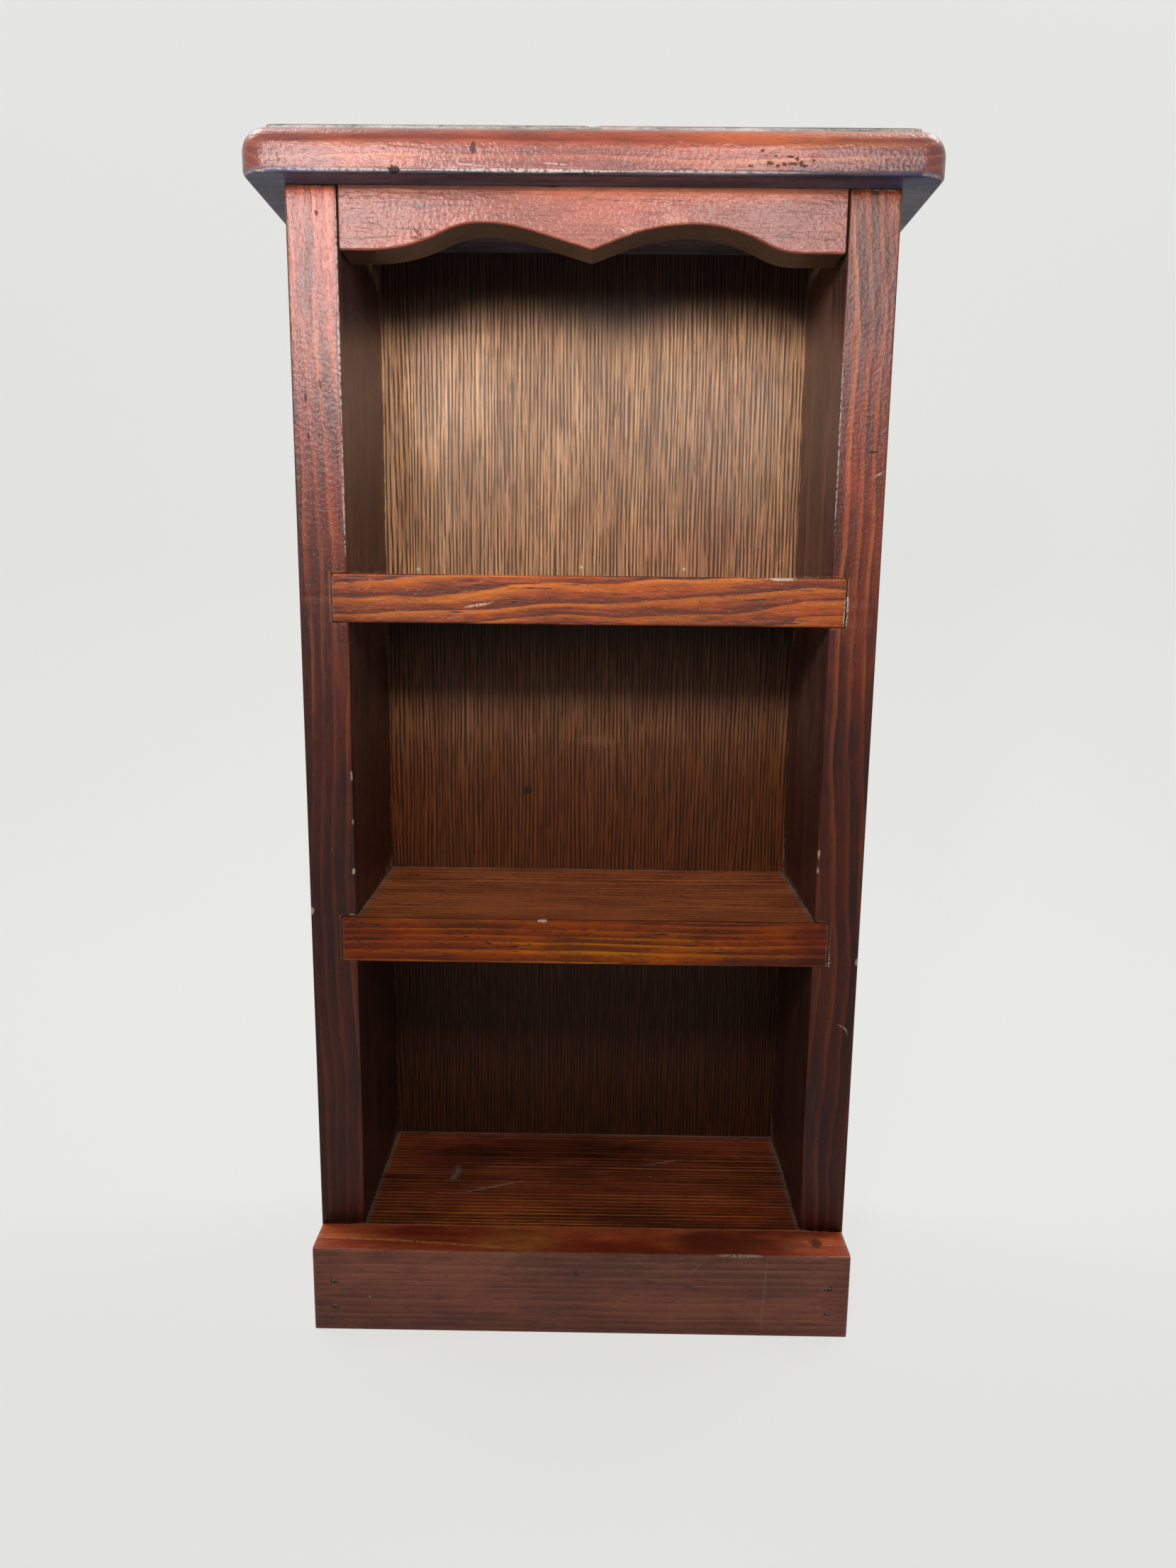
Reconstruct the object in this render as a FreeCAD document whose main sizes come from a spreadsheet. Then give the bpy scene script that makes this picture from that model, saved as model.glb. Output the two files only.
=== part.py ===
import FreeCAD, Part
import math
import os
import Sketcher
from FreeCAD import Vector

# A small standing shelf unit of stained pine: two sides, three housed shelves, a moulded top,
# a scalloped apron, a plinth board and a plywood back, all nailed together.
# Every board is drawn in the case's own frame: X across from the middle, Y back from the front
# edges of the sides, Z up from the floor. All share one placement, which brings the middle of
# the footprint to the origin.

# Driving sizes in millimetres: name, value, meaning
SIZES = [
    ("case_width", 228.6, "outside width across the two sides"),
    ("side_thickness", 19.05, "thickness of a side board"),
    ("side_depth", 88.9, "width of a side board, front to back"),
    ("side_length", 460.4, "length of a side board, floor to top board"),
    ("shelf_thickness", 19.05, "thickness of each shelf"),
    ("shelf_pitch", 140.5, "height from one shelf's top to the next"),
    ("shelf_proud", 1.0, "how far the two open shelves stand out of the sides"),
    ("dado_depth", 6.35, "depth of the housings in the sides"),
    ("dado_clearance", 0.2, "gap over a shelf in its housing"),
    ("shelf_end_gap", 0.3, "gap at each end of a shelf in its housing"),
    ("panel_thickness", 6.35, "thickness of the plywood back"),
    ("rabbet_width", 9.525, "width of the rebate that holds the back"),
    ("panel_edge_gap", 0.3, "gap beside and over the back"),
    ("panel_floor_gap", 3.0, "height of the back's lower edge over the floor"),
    ("plinth_thickness", 19.05, "thickness of the plinth board"),
    ("plinth_height", 38.1, "height of the plinth board, and of the bottom shelf's top"),
    ("plinth_end_inset", 0.4, "how far each end of the plinth board stops short of the case"),
    ("plinth_edge_radius", 1.3, "rounding of the plinth board's front edges"),
    ("top_thickness", 19.05, "thickness of the top board at its raised field"),
    ("top_side_overhang", 13.7, "overhang of the top board past each side"),
    ("top_front_overhang", 12.7, "overhang of the top board past the front"),
    ("top_step", 2.0, "height of the raised field over the moulded edge"),
    ("roundover_radius", 8.8, "radius of the moulded edge"),
    ("field_corner_radius", 0.8, "plan radius of the raised field's front corners"),
    ("field_edge_radius", 0.5, "rounding of the raised field's edge"),
    ("top_lower_radius", 2.0, "rounding of the top board's lower edges"),
    ("apron_height", 22.6, "height of the apron at its ends"),
    ("apron_thickness", 19.05, "thickness of the apron"),
    ("apron_end_gap", 0.4, "gap at each end of the apron"),
    ("arch_height", 9.9, "rise of the two arches over the apron's ends"),
    ("point_lift", 0.7, "height of the middle point over the apron's ends"),
    ("point_radius", 2.0, "rounding of the middle point"),
    ("apron_corner_radius", 1.2, "rounding of the apron's two lower corners"),
    ("eased_edge", 0.8, "rounding of the boards' front edges"),
    ("nail_length", 38.1, "length of a finishing nail"),
    ("nail_width", 1.6, "width of a finishing nail's wire"),
    ("nail_thickness", 1.4, "thickness of a finishing nail"),
    ("nail_head_width", 2.9, "width of a finishing nail's T-shaped head"),
    ("nail_head_height", 1.3, "height of a finishing nail's head"),
    ("nail_edge_distance", 25.4, "distance of a nail from the front or back of its board"),
    ("brad_length", 19.05, "length of a brad in the back"),
    ("brad_width", 1.25, "width of a brad's wire"),
    ("brad_thickness", 1.0, "thickness of a brad"),
    ("brad_head_width", 2.0, "width of a brad's head"),
    ("brad_head_height", 1.0, "height of a brad's head"),
    ("brad_edge_distance", 12.0, "distance of the upper brads from the top of the back"),
    ("point_length", 1.5, "length of the chisel points"),
    ("head_set_depth", 0.4, "how far the heads are set below the surface"),
    ("hole_clearance", 0.2, "how much wider than its nail a hole is"),
    ("hole_end_gap", 0.3, "how much deeper than its nail a hole is, at the head and the point"),
]

# The two arches differ a little, as sawn by hand, so these hold a share for the left half and one
# for the right. Places along the apron are shares of its half length, from the middle out: the
# top of the arch, and the start of the flat end.
PEAK_SHARES = (0.44, 0.4)
FLAT_SHARES = (0.89, 0.83)
# Share of each S curve that its upper arc takes, from the top of the arch to the change of bend
UPPER_ARC_SHARES = (0.32, 0.65)
# Share of the largest arc that could run from the top of the arch to the middle point
INNER_ARC_SHARES = (0.69, 0.9)
# Heights of the two nails at each end of the plinth board, as shares of its height
PLINTH_NAIL_SHARES = (0.3, 0.61)
# Places of the brads along the back edge of a shelf, as shares of half the opening
SHELF_BRAD_SHARES = (-0.5, 0.5)
# Width of a chisel point's edge, as a share of the wire's
POINT_WIDTH_SHARE = 0.3

# Difference in place that counts as none when edges are picked
SAME_PLACE = 0.001

doc = FreeCAD.newDocument("ShelfUnit")
sheet = doc.addObject("Spreadsheet::Sheet", "Sizes")
for row, (name, number, meaning) in enumerate(SIZES, start=1):
    sheet.set("A%d" % row, meaning)
    sheet.set("B%d" % row, str(number))
    sheet.setAlias("B%d" % row, name)
doc.recompute()

# Planes and places that several pieces share, as expressions on the sheet
OUTER_FACE = "(Sizes.case_width / 2)"
INNER_FACE = "(Sizes.case_width / 2 - Sizes.side_thickness)"
SIDE_MIDDLE = "(Sizes.case_width / 2 - Sizes.side_thickness / 2)"
RABBET_WALL = "(%s + Sizes.rabbet_width)" % INNER_FACE
RABBET_MIDDLE = "(%s + Sizes.rabbet_width / 2)" % INNER_FACE
PANEL_FRONT = "(Sizes.side_depth - Sizes.panel_thickness)"
TOP_SURFACE = "(Sizes.side_length + Sizes.top_thickness)"
TOP_HALF_LENGTH = "(Sizes.case_width / 2 + Sizes.top_side_overhang)"
APRON_HALF_LENGTH = "(%s - Sizes.apron_end_gap)" % INNER_FACE
APRON_BOTTOM = "(Sizes.side_length - Sizes.apron_height)"
NAIL_ROWS = ("Sizes.nail_edge_distance", "(Sizes.side_depth - Sizes.nail_edge_distance)")
FRONT_REACH = "max(Sizes.plinth_thickness; Sizes.top_front_overhang)"
SHELF_TOPS = {
    "bottom_shelf": "Sizes.plinth_height",
    "lower_shelf": "(Sizes.plinth_height + Sizes.shelf_pitch)",
    "upper_shelf": "(Sizes.plinth_height + 2 * Sizes.shelf_pitch)",
}
SIDES = ("left", "right")
SIGNS = {"left": -1, "right": 1}
# Direction of each origin plane's normal along the axis that it faces
NORMALS = {"XY_Plane": 1, "XZ_Plane": -1, "YZ_Plane": 1}

bodies = {}


def value(expression):
    """The number that an expression on the sheet gives."""
    return float(sheet.evalExpression(expression))


def mirrored(side, expression):
    """A place across the case, taken to the left or right side of the middle."""
    return "%d * %s" % (SIGNS[side], expression)


def new_body(label):
    """An empty body, placed with the rest of the case."""
    body = doc.addObject("PartDesign::Body", label)
    body.Label = label
    body.setExpression("Placement.Base.y", "(%s - Sizes.side_depth) / 2" % FRONT_REACH)
    bodies[label] = body
    return body


def new_sketch(body, name, role, level):
    """A sketch parallel to one of the body's origin planes, at a place along that plane's axis."""
    sketch = body.newObject("Sketcher::SketchObject", name)
    plane = next(item for item in body.Origin.OriginFeatures if item.Role == role)
    sketch.AttachmentSupport = (plane, [""])
    sketch.MapMode = "FlatFace"
    sketch.setExpression("AttachmentOffset.Base.z", "%d * (%s)" % (NORMALS[role], level))
    return sketch


def constrain(sketch, expression, kind, *where):
    """A dimension in a sketch, bound to an expression."""
    index = sketch.addConstraint(Sketcher.Constraint(kind, *where, value(expression)))
    sketch.setExpression("Constraints[%d]" % index, expression)


def hold(sketch, geometry, end, x, y):
    """Hold one end or the centre of a line or curve at a place given by two expressions."""
    for kind, axis, expression in (("DistanceX", -2, x), ("DistanceY", -1, y)):
        if expression == "0":
            sketch.addConstraint(Sketcher.Constraint("PointOnObject", geometry, end, axis))
        else:
            constrain(sketch, expression, kind, -1, 1, geometry, end)


def join(sketch, kind, geometry, end, other, other_end):
    """Join two ends, by "Coincident", or by "Tangent" for a smooth joint."""
    sketch.addConstraint(Sketcher.Constraint(kind, geometry, end, other, other_end))


def arc(sketch, centre, start, end, turn):
    """An arc that turns left (+1) or right (-1); gives its index and the numbers of its ends."""
    low, high = (start, end) if turn > 0 else (end, start)
    angles = [math.atan2(place.y - centre.y, place.x - centre.x) for place in (low, high)]
    circle = Part.Circle(centre, Vector(0, 0, 1), start.distanceToPoint(centre))
    index = sketch.addGeometry(Part.ArcOfCircle(circle, *angles))
    return (index, 1, 2) if turn > 0 else (index, 2, 1)


def outline(sketch, corners, bends=None):
    """A closed outline through corners given as pairs of expressions. The stretch after a corner
    is straight, or an arc where bends gives that corner's number a centre, a radius and a turn."""
    bends = bends or {}
    points = [Vector(value(x), value(y), 0) for x, y in corners]
    stretches = []
    for index, (start, end) in enumerate(zip(points, points[1:] + points[:1])):
        if index in bends:
            (x, y), radius, turn = bends[index]
            stretches.append(arc(sketch, Vector(value(x), value(y), 0), start, end, turn))
        else:
            stretches.append((sketch.addGeometry(Part.LineSegment(start, end)), 1, 2))
    for index, (x, y) in enumerate(corners):
        geometry, start, end = stretches[index]
        before, before_start, before_end = stretches[index - 1]
        join(sketch, "Coincident", before, before_end, geometry, start)
        hold(sketch, geometry, start, x, y)
        if index in bends:
            constrain(sketch, bends[index][1], "Radius", geometry)


def rectangle(sketch, x_low, x_high, y_low, y_high):
    """A closed rectangle between four expressions."""
    outline(sketch, [(x_low, y_low), (x_high, y_low), (x_high, y_high), (x_low, y_high)])


def add_feature(body, kind, name):
    """A new feature at the end of the body."""
    feature = body.newObject("PartDesign::" + kind, name)
    body.Tip = feature
    return feature


def pad(body, sketch, role, toward, length):
    """Add a prism on a sketch; toward is +1 or -1 along the axis that the sketch faces."""
    feature = add_feature(body, "Pad", sketch.Name + "_pad")
    feature.Profile = sketch
    feature.Reversed = toward != NORMALS[role]
    feature.setExpression("Length", length)
    doc.recompute()


def pocket(body, sketch, role, toward, length):
    """Cut a prism out of the body, and make sure that it cuts."""
    before = body.Shape.Volume
    feature = add_feature(body, "Pocket", sketch.Name + "_pocket")
    feature.Profile = sketch
    feature.Reversed = toward == NORMALS[role]
    feature.setExpression("Length", length)
    doc.recompute()
    if body.Shape.Volume >= before:
        raise RuntimeError("%s cuts nothing" % feature.Name)


def lies_in(edge, **planes):
    """Whether an edge lies in the planes given, such as z=0."""
    box = edge.BoundBox
    limits = {"x": (box.XMin, box.XMax), "y": (box.YMin, box.YMax), "z": (box.ZMin, box.ZMax)}
    return all(
        abs(limit - place) < SAME_PLACE for axis, place in planes.items() for limit in limits[axis]
    )


def fillet(body, name, radius, chosen):
    """Round the edges of the body that a test picks."""
    base = body.Tip
    edges = ["Edge%d" % number for number, edge in enumerate(base.Shape.Edges, 1) if chosen(edge)]
    feature = add_feature(body, "Fillet", name)
    feature.Base = (base, edges)
    feature.setExpression("Radius", radius)
    doc.recompute()


def build_side(side):
    """A side board: rebated at the back, with a housing across it for each shelf."""
    body = new_body(side + "_side")
    section = new_sketch(body, side + "_side_section", "XY_Plane", "0")
    outer, inner, wall = [mirrored(side, x) for x in (OUTER_FACE, INNER_FACE, RABBET_WALL)]
    outline(section, [
        (inner, "0"),
        (outer, "0"),
        (outer, "Sizes.side_depth"),
        (wall, "Sizes.side_depth"),
        (wall, PANEL_FRONT),
        (inner, PANEL_FRONT),
    ])
    pad(body, section, "XY_Plane", 1, "Sizes.side_length")
    outer_place, inner_place = value(outer), value(inner)
    fillet(body, side + "_side_eased", "Sizes.eased_edge", lambda edge: (
        lies_in(edge, x=outer_place, y=0) or lies_in(edge, x=inner_place, y=0)
    ))
    housing_floor = mirrored(side, "(%s + Sizes.dado_depth)" % INNER_FACE)
    for shelf, level in SHELF_TOPS.items():
        housing = new_sketch(body, "%s_side_%s_housing" % (side, shelf), "XZ_Plane", "0")
        bottom, top = level + " - Sizes.shelf_thickness", level + " + Sizes.dado_clearance"
        rectangle(housing, inner, housing_floor, bottom, top)
        pocket(body, housing, "XZ_Plane", 1, PANEL_FRONT)


def build_shelf(label, level, front):
    """A shelf, from its front edge back to the plywood, with its ends in the housings."""
    body = new_body(label)
    underside = level + " - Sizes.shelf_thickness"
    plan = new_sketch(body, label + "_plan", "XY_Plane", underside)
    reach = "(%s + Sizes.dado_depth - Sizes.shelf_end_gap)" % INNER_FACE
    rectangle(plan, mirrored("left", reach), reach, front, PANEL_FRONT)
    pad(body, plan, "XY_Plane", 1, "Sizes.shelf_thickness")
    front_place, top, bottom = [value(place) for place in (front, level, underside)]
    fillet(body, label + "_eased", "Sizes.eased_edge", lambda edge: (
        lies_in(edge, y=front_place, z=top) or lies_in(edge, y=front_place, z=bottom)
    ))


def build_plinth():
    """The plinth board, in front of the sides and the bottom shelf."""
    body = new_body("plinth_board")
    face = new_sketch(body, "plinth_face", "XZ_Plane", "0")
    reach = "(%s - Sizes.plinth_end_inset)" % OUTER_FACE
    rectangle(face, mirrored("left", reach), reach, "0", "Sizes.plinth_height")
    pad(body, face, "XZ_Plane", -1, "Sizes.plinth_thickness")
    front = value("-Sizes.plinth_thickness")
    fillet(body, "plinth_eased", "Sizes.plinth_edge_radius", lambda edge: lies_in(edge, y=front))


def build_back():
    """The plywood back, in the rebates of the sides."""
    body = new_body("back_panel")
    face = new_sketch(body, "back_face", "XZ_Plane", PANEL_FRONT)
    reach = "(%s - Sizes.panel_edge_gap)" % RABBET_WALL
    top = "Sizes.side_length - Sizes.panel_edge_gap"
    rectangle(face, mirrored("left", reach), reach, "Sizes.panel_floor_gap", top)
    pad(body, face, "XZ_Plane", 1, "Sizes.panel_thickness")


def build_top():
    """The top board: a quarter round on the front and ends, under a raised field."""
    body = new_body("top_board")
    front, back = "-Sizes.top_front_overhang", "Sizes.side_depth"
    plan = new_sketch(body, "top_plan", "XY_Plane", "Sizes.side_length")
    rectangle(plan, mirrored("left", TOP_HALF_LENGTH), TOP_HALF_LENGTH, front, back)
    pad(body, plan, "XY_Plane", 1, "Sizes.top_thickness - Sizes.top_step")
    front_place, back_place = value(front), value(back)
    end_place = value(TOP_HALF_LENGTH)
    fillet(body, "top_corners", "Sizes.roundover_radius + Sizes.field_corner_radius", lambda edge: (
        lies_in(edge, x=end_place, y=front_place) or lies_in(edge, x=-end_place, y=front_place)
    ))

    shoulder = "(%s - Sizes.top_step)" % TOP_SURFACE
    for name, radius, level in (
        ("top_lower_edge", "Sizes.top_lower_radius", "Sizes.side_length"),
        ("top_roundover", "Sizes.roundover_radius", shoulder),
    ):
        place = value(level)
        fillet(body, name, radius, lambda edge: (
            lies_in(edge, z=place) and not lies_in(edge, y=back_place)
        ))

    field = new_sketch(body, "top_field", "XY_Plane", shoulder)
    radius = "Sizes.field_corner_radius"
    reach = "(%s - Sizes.roundover_radius)" % TOP_HALF_LENGTH
    bend = "(%s - %s)" % (reach, radius)
    front_edge = "(Sizes.roundover_radius - Sizes.top_front_overhang)"
    front_bend = "(%s + %s)" % (front_edge, radius)
    outline(field, [
        (mirrored("left", reach), back),
        (mirrored("left", reach), front_bend),
        (mirrored("left", bend), front_edge),
        (bend, front_edge),
        (reach, front_bend),
        (reach, back),
    ], {
        1: ((mirrored("left", bend), front_bend), radius, 1),
        3: ((bend, front_bend), radius, 1),
    })
    pad(body, field, "XY_Plane", 1, "Sizes.top_step")
    surface = value(TOP_SURFACE)
    fillet(body, "top_field_edge", "Sizes.field_edge_radius", lambda edge: (
        lies_in(edge, z=surface) and not lies_in(edge, y=back_place)
    ))


def draw_scallop(sketch, side):
    """Half of the apron's outline, from its end to the middle point: a flat, an S curve up to
    the top of the arch, an arc over it and a straight run down to the point. Gives the first
    and last lines."""
    sign = SIGNS[side]
    tables = (PEAK_SHARES, FLAT_SHARES, UPPER_ARC_SHARES, INNER_ARC_SHARES)
    peak_share, flat_share, upper_share, inner_share = [shares[SIDES.index(side)] for shares in tables]
    peak_place = "(%s * %s)" % (peak_share, APRON_HALF_LENGTH)
    flat_place = "(%s * %s)" % (flat_share, APRON_HALF_LENGTH)
    # Two tangent arcs, level at both ends, whose radii add up to this
    both_radii = "(((%s - %s)^2 + Sizes.arch_height^2) / (2 * Sizes.arch_height))" % (
        flat_place, peak_place)
    upper_radius = "%s * %s" % (upper_share, both_radii)
    drop = "(Sizes.arch_height - Sizes.point_lift)"
    inner_radius = "%s * (%s^2 + %s^2) / (2 * %s)" % (inner_share, peak_place, drop, drop)

    bottom = value(APRON_BOTTOM)
    corner = Vector(sign * value(APRON_HALF_LENGTH), bottom, 0)
    upper_corner = Vector(corner.x, value("Sizes.side_length"), 0)
    flat_end = Vector(sign * value(flat_place), bottom, 0)
    peak = Vector(sign * value(peak_place), bottom + value("Sizes.arch_height"), 0)
    point = Vector(0, bottom + value("Sizes.point_lift"), 0)
    lower_centre = flat_end + Vector(0, value(both_radii) - value(upper_radius), 0)
    upper_centre = peak - Vector(0, value(upper_radius), 0)
    inner_centre = peak - Vector(0, value(inner_radius), 0)
    change = lower_centre + (upper_centre - lower_centre) * (1 - upper_share)
    # The straight run touches the inner arc here
    to_point = point - inner_centre
    angle = math.atan2(to_point.y, to_point.x)
    angle -= sign * math.acos(value(inner_radius) / to_point.Length)
    touch = inner_centre + Vector(math.cos(angle), math.sin(angle), 0) * value(inner_radius)

    end_line = sketch.addGeometry(Part.LineSegment(upper_corner, corner))
    flat = sketch.addGeometry(Part.LineSegment(corner, flat_end))
    lower, lower_start, lower_end = arc(sketch, lower_centre, flat_end, change, -sign)
    upper, upper_start, upper_end = arc(sketch, upper_centre, change, peak, sign)
    inner, inner_start, inner_end = arc(sketch, inner_centre, peak, touch, sign)
    run = sketch.addGeometry(Part.LineSegment(touch, point))

    hold(sketch, end_line, 1, mirrored(side, APRON_HALF_LENGTH), "Sizes.side_length")
    sketch.addConstraint(Sketcher.Constraint("Vertical", end_line))
    join(sketch, "Coincident", end_line, 2, flat, 1)
    hold(sketch, flat, 2, mirrored(side, flat_place), APRON_BOTTOM)
    sketch.addConstraint(Sketcher.Constraint("Horizontal", flat))
    join(sketch, "Tangent", flat, 2, lower, lower_start)
    join(sketch, "Tangent", lower, lower_end, upper, upper_start)
    constrain(sketch, upper_radius, "Radius", upper)
    hold(sketch, upper, upper_end, mirrored(side, peak_place),
         "(%s + Sizes.arch_height)" % APRON_BOTTOM)
    join(sketch, "Tangent", upper, upper_end, inner, inner_start)
    sketch.addConstraint(Sketcher.Constraint("Vertical", inner, inner_start, inner, 3))
    constrain(sketch, inner_radius, "Radius", inner)
    join(sketch, "Tangent", inner, inner_end, run, 1)
    return end_line, run


def build_apron():
    """The apron under the top board, between the sides, with two arches and a middle point."""
    body = new_body("scalloped_apron")
    face = new_sketch(body, "apron_face", "XZ_Plane", "0")
    left_end, left_run = draw_scallop(face, "left")
    right_end, right_run = draw_scallop(face, "right")
    hold(face, left_run, 2, "0", "(%s + Sizes.point_lift)" % APRON_BOTTOM)
    join(face, "Coincident", left_run, 2, right_run, 2)
    ends = [face.getPoint(line, 1) for line in (left_end, right_end)]
    top = face.addGeometry(Part.LineSegment(*ends))
    join(face, "Coincident", top, 1, left_end, 1)
    join(face, "Coincident", top, 2, right_end, 1)
    pad(body, face, "XZ_Plane", 1, "Sizes.apron_thickness")
    fillet(body, "apron_point", "Sizes.point_radius", lambda edge: lies_in(edge, x=0))
    bottom, end_place = value(APRON_BOTTOM), value(APRON_HALF_LENGTH)
    fillet(body, "apron_corners", "Sizes.apron_corner_radius", lambda edge: (
        lies_in(edge, x=end_place, z=bottom) or lies_in(edge, x=-end_place, z=bottom)
    ))
    arch_top = value(APRON_BOTTOM + " + Sizes.arch_height")
    fillet(body, "apron_eased", "Sizes.eased_edge", lambda edge: (
        lies_in(edge, y=0) and edge.BoundBox.ZMax < arch_top + SAME_PLACE
    ))


def nail_side_view(sketch, kind, surface, axis, toward, hole):
    """The side view of a nail or of its hole: T-shaped head, wire and point, inward along the
    sketch's x or y from a place on the surface."""
    length, width, head_width, head_height = [
        "Sizes.%s_%s" % (kind, size) for size in ("length", "width", "head_width", "head_height")
    ]
    neck = "Sizes.head_set_depth + " + head_height
    end = "Sizes.head_set_depth + " + length
    if hole:
        half_wire, half_head = ["(%s + Sizes.hole_clearance) / 2" % size for size in (width, head_width)]
        neck, end = neck + " + Sizes.hole_end_gap", end + " + Sizes.hole_end_gap"
        half_view = [("0", half_head), (neck, half_head), (neck, half_wire), (end, half_wire)]
    else:
        half_wire, half_head = width + " / 2", head_width + " / 2"
        half_view = [
            ("Sizes.head_set_depth", half_head),
            (neck, half_head),
            (neck, half_wire),
            (end + " - Sizes.point_length", half_wire),
            (end, "%s * %s" % (POINT_WIDTH_SHARE, half_wire)),
        ]
    other_half = [(depth, "-1 * " + across) for depth, across in reversed(half_view)]
    x, y = surface
    corners = []
    for depth, across in half_view + other_half:
        inward = "%d * (%s)" % (toward, depth)
        if axis == "x":
            corners.append(("%s + %s" % (x, inward), "%s + %s" % (y, across)))
        else:
            corners.append(("%s + %s" % (x, across), "%s + %s" % (y, inward)))
    outline(sketch, corners)


def drive(group, kind, role, level, nails, boards):
    """Nails that lie side by side in one plane, each (place on the surface, axis, direction), and
    their holes in the boards that they join."""
    for body in [group] + boards:
        hole = body is not group
        thickness = "Sizes.%s_thickness" % kind + (" + Sizes.hole_clearance" if hole else "")
        name = "%s_in_%s" % (group.Label, body.Label) if hole else group.Label + "_side_view"
        view = new_sketch(body, name, role, "%s - (%s) / 2" % (level, thickness))
        for surface, axis, toward in nails:
            nail_side_view(view, kind, surface, axis, toward, hole)
        (pocket if hole else pad)(body, view, role, 1, thickness)


def nail_group(label):
    """A body that holds several separate nails."""
    body = new_body(label)
    body.AllowCompound = True
    return body


def build_nails():
    """Finishing nails through the sides, the plinth board and the top, and brads in the back."""
    sides = [bodies[side + "_side"] for side in SIDES]

    # Through the sides, into the ends of the apron and the shelves
    outside = [(mirrored(side, OUTER_FACE), -SIGNS[side]) for side in SIDES]
    apron_row = "Sizes.apron_thickness / 2"
    height = "%s + Sizes.apron_height / 2" % APRON_BOTTOM
    drive(nail_group("apron_nails"), "nail", "XY_Plane", height,
          [((x, apron_row), "x", toward) for x, toward in outside], sides + [bodies["scalloped_apron"]])
    for shelf, level in SHELF_TOPS.items():
        drive(nail_group(shelf + "_nails"), "nail", "XY_Plane", level + " - Sizes.shelf_thickness / 2",
              [((x, row), "x", toward) for x, toward in outside for row in NAIL_ROWS],
              sides + [bodies[shelf]])

    # Through the plinth board into the front edges of the sides, and through the top into their ends
    middles = [mirrored(side, SIDE_MIDDLE) for side in SIDES]
    plinth_nails = nail_group("plinth_nails")
    for share in PLINTH_NAIL_SHARES:
        drive(plinth_nails, "nail", "XY_Plane", "%s * Sizes.plinth_height" % share,
              [((x, "-1 * Sizes.plinth_thickness"), "y", 1) for x in middles],
              [bodies["plinth_board"]] + sides)
    top_nails = nail_group("top_nails")
    for row in NAIL_ROWS:
        drive(top_nails, "nail", "XZ_Plane", row, [((x, TOP_SURFACE), "y", -1) for x in middles],
              [bodies["top_board"]] + sides)

    # Through the plywood, into the rebates below, between and above the shelves, and into the shelves
    brads = nail_group("back_panel_brads")
    rebates = [((mirrored(side, RABBET_MIDDLE), "Sizes.side_depth"), "y", -1) for side in SIDES]
    heights = ["(Sizes.panel_floor_gap + %s - Sizes.shelf_thickness) / 2" % SHELF_TOPS["bottom_shelf"]]
    tops = list(SHELF_TOPS.values())
    for below, above in zip(tops, tops[1:]):
        heights.append("(%s + %s - Sizes.shelf_thickness) / 2" % (below, above))
    heights.append("(%s + Sizes.side_length) / 2" % tops[-1])
    heights.append("Sizes.side_length - Sizes.panel_edge_gap - Sizes.brad_edge_distance")
    for height in heights:
        drive(brads, "brad", "XY_Plane", height, rebates, [bodies["back_panel"]] + sides)
    for shelf, level in SHELF_TOPS.items():
        places = [("%s * %s" % (share, INNER_FACE), "Sizes.side_depth") for share in SHELF_BRAD_SHARES]
        drive(brads, "brad", "XY_Plane", level + " - Sizes.shelf_thickness / 2",
              [(place, "y", -1) for place in places], [bodies["back_panel"], bodies[shelf]])


def check_model():
    """Stop if a sketch is loose, a feature failed or a piece's shape is wrong."""
    for item in doc.Objects:
        if "Invalid" in item.State or "Error" in item.State:
            raise RuntimeError("%s failed: %s" % (item.Name, item.State))
        if item.TypeId == "Sketcher::SketchObject" and not item.FullyConstrained:
            raise RuntimeError("%s is not held by its sizes" % item.Name)
    for label, body in bodies.items():
        if body.Shape.isNull() or not body.Shape.isValid():
            raise RuntimeError("%s has no valid shape" % label)


for side_name in SIDES:
    build_side(side_name)
for shelf_name, shelf_top in SHELF_TOPS.items():
    # The bottom shelf's front edge is flush with the sides, behind the plinth board
    build_shelf(shelf_name, shelf_top, "0" if shelf_name == "bottom_shelf" else "-Sizes.shelf_proud")
build_plinth()
build_back()
build_top()
build_apron()
build_nails()
doc.recompute()
check_model()

os.makedirs("parts", exist_ok=True)
for node, node_body in bodies.items():
    node_body.Shape.exportStep("parts/%s.step" % node)
    print(node, len(node_body.Shape.Solids), "solids", round(node_body.Shape.Volume), "mm3")
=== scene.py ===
import math

import bmesh
import bpy
from mathutils import Matrix, Vector
from mathutils.kdtree import KDTree


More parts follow.
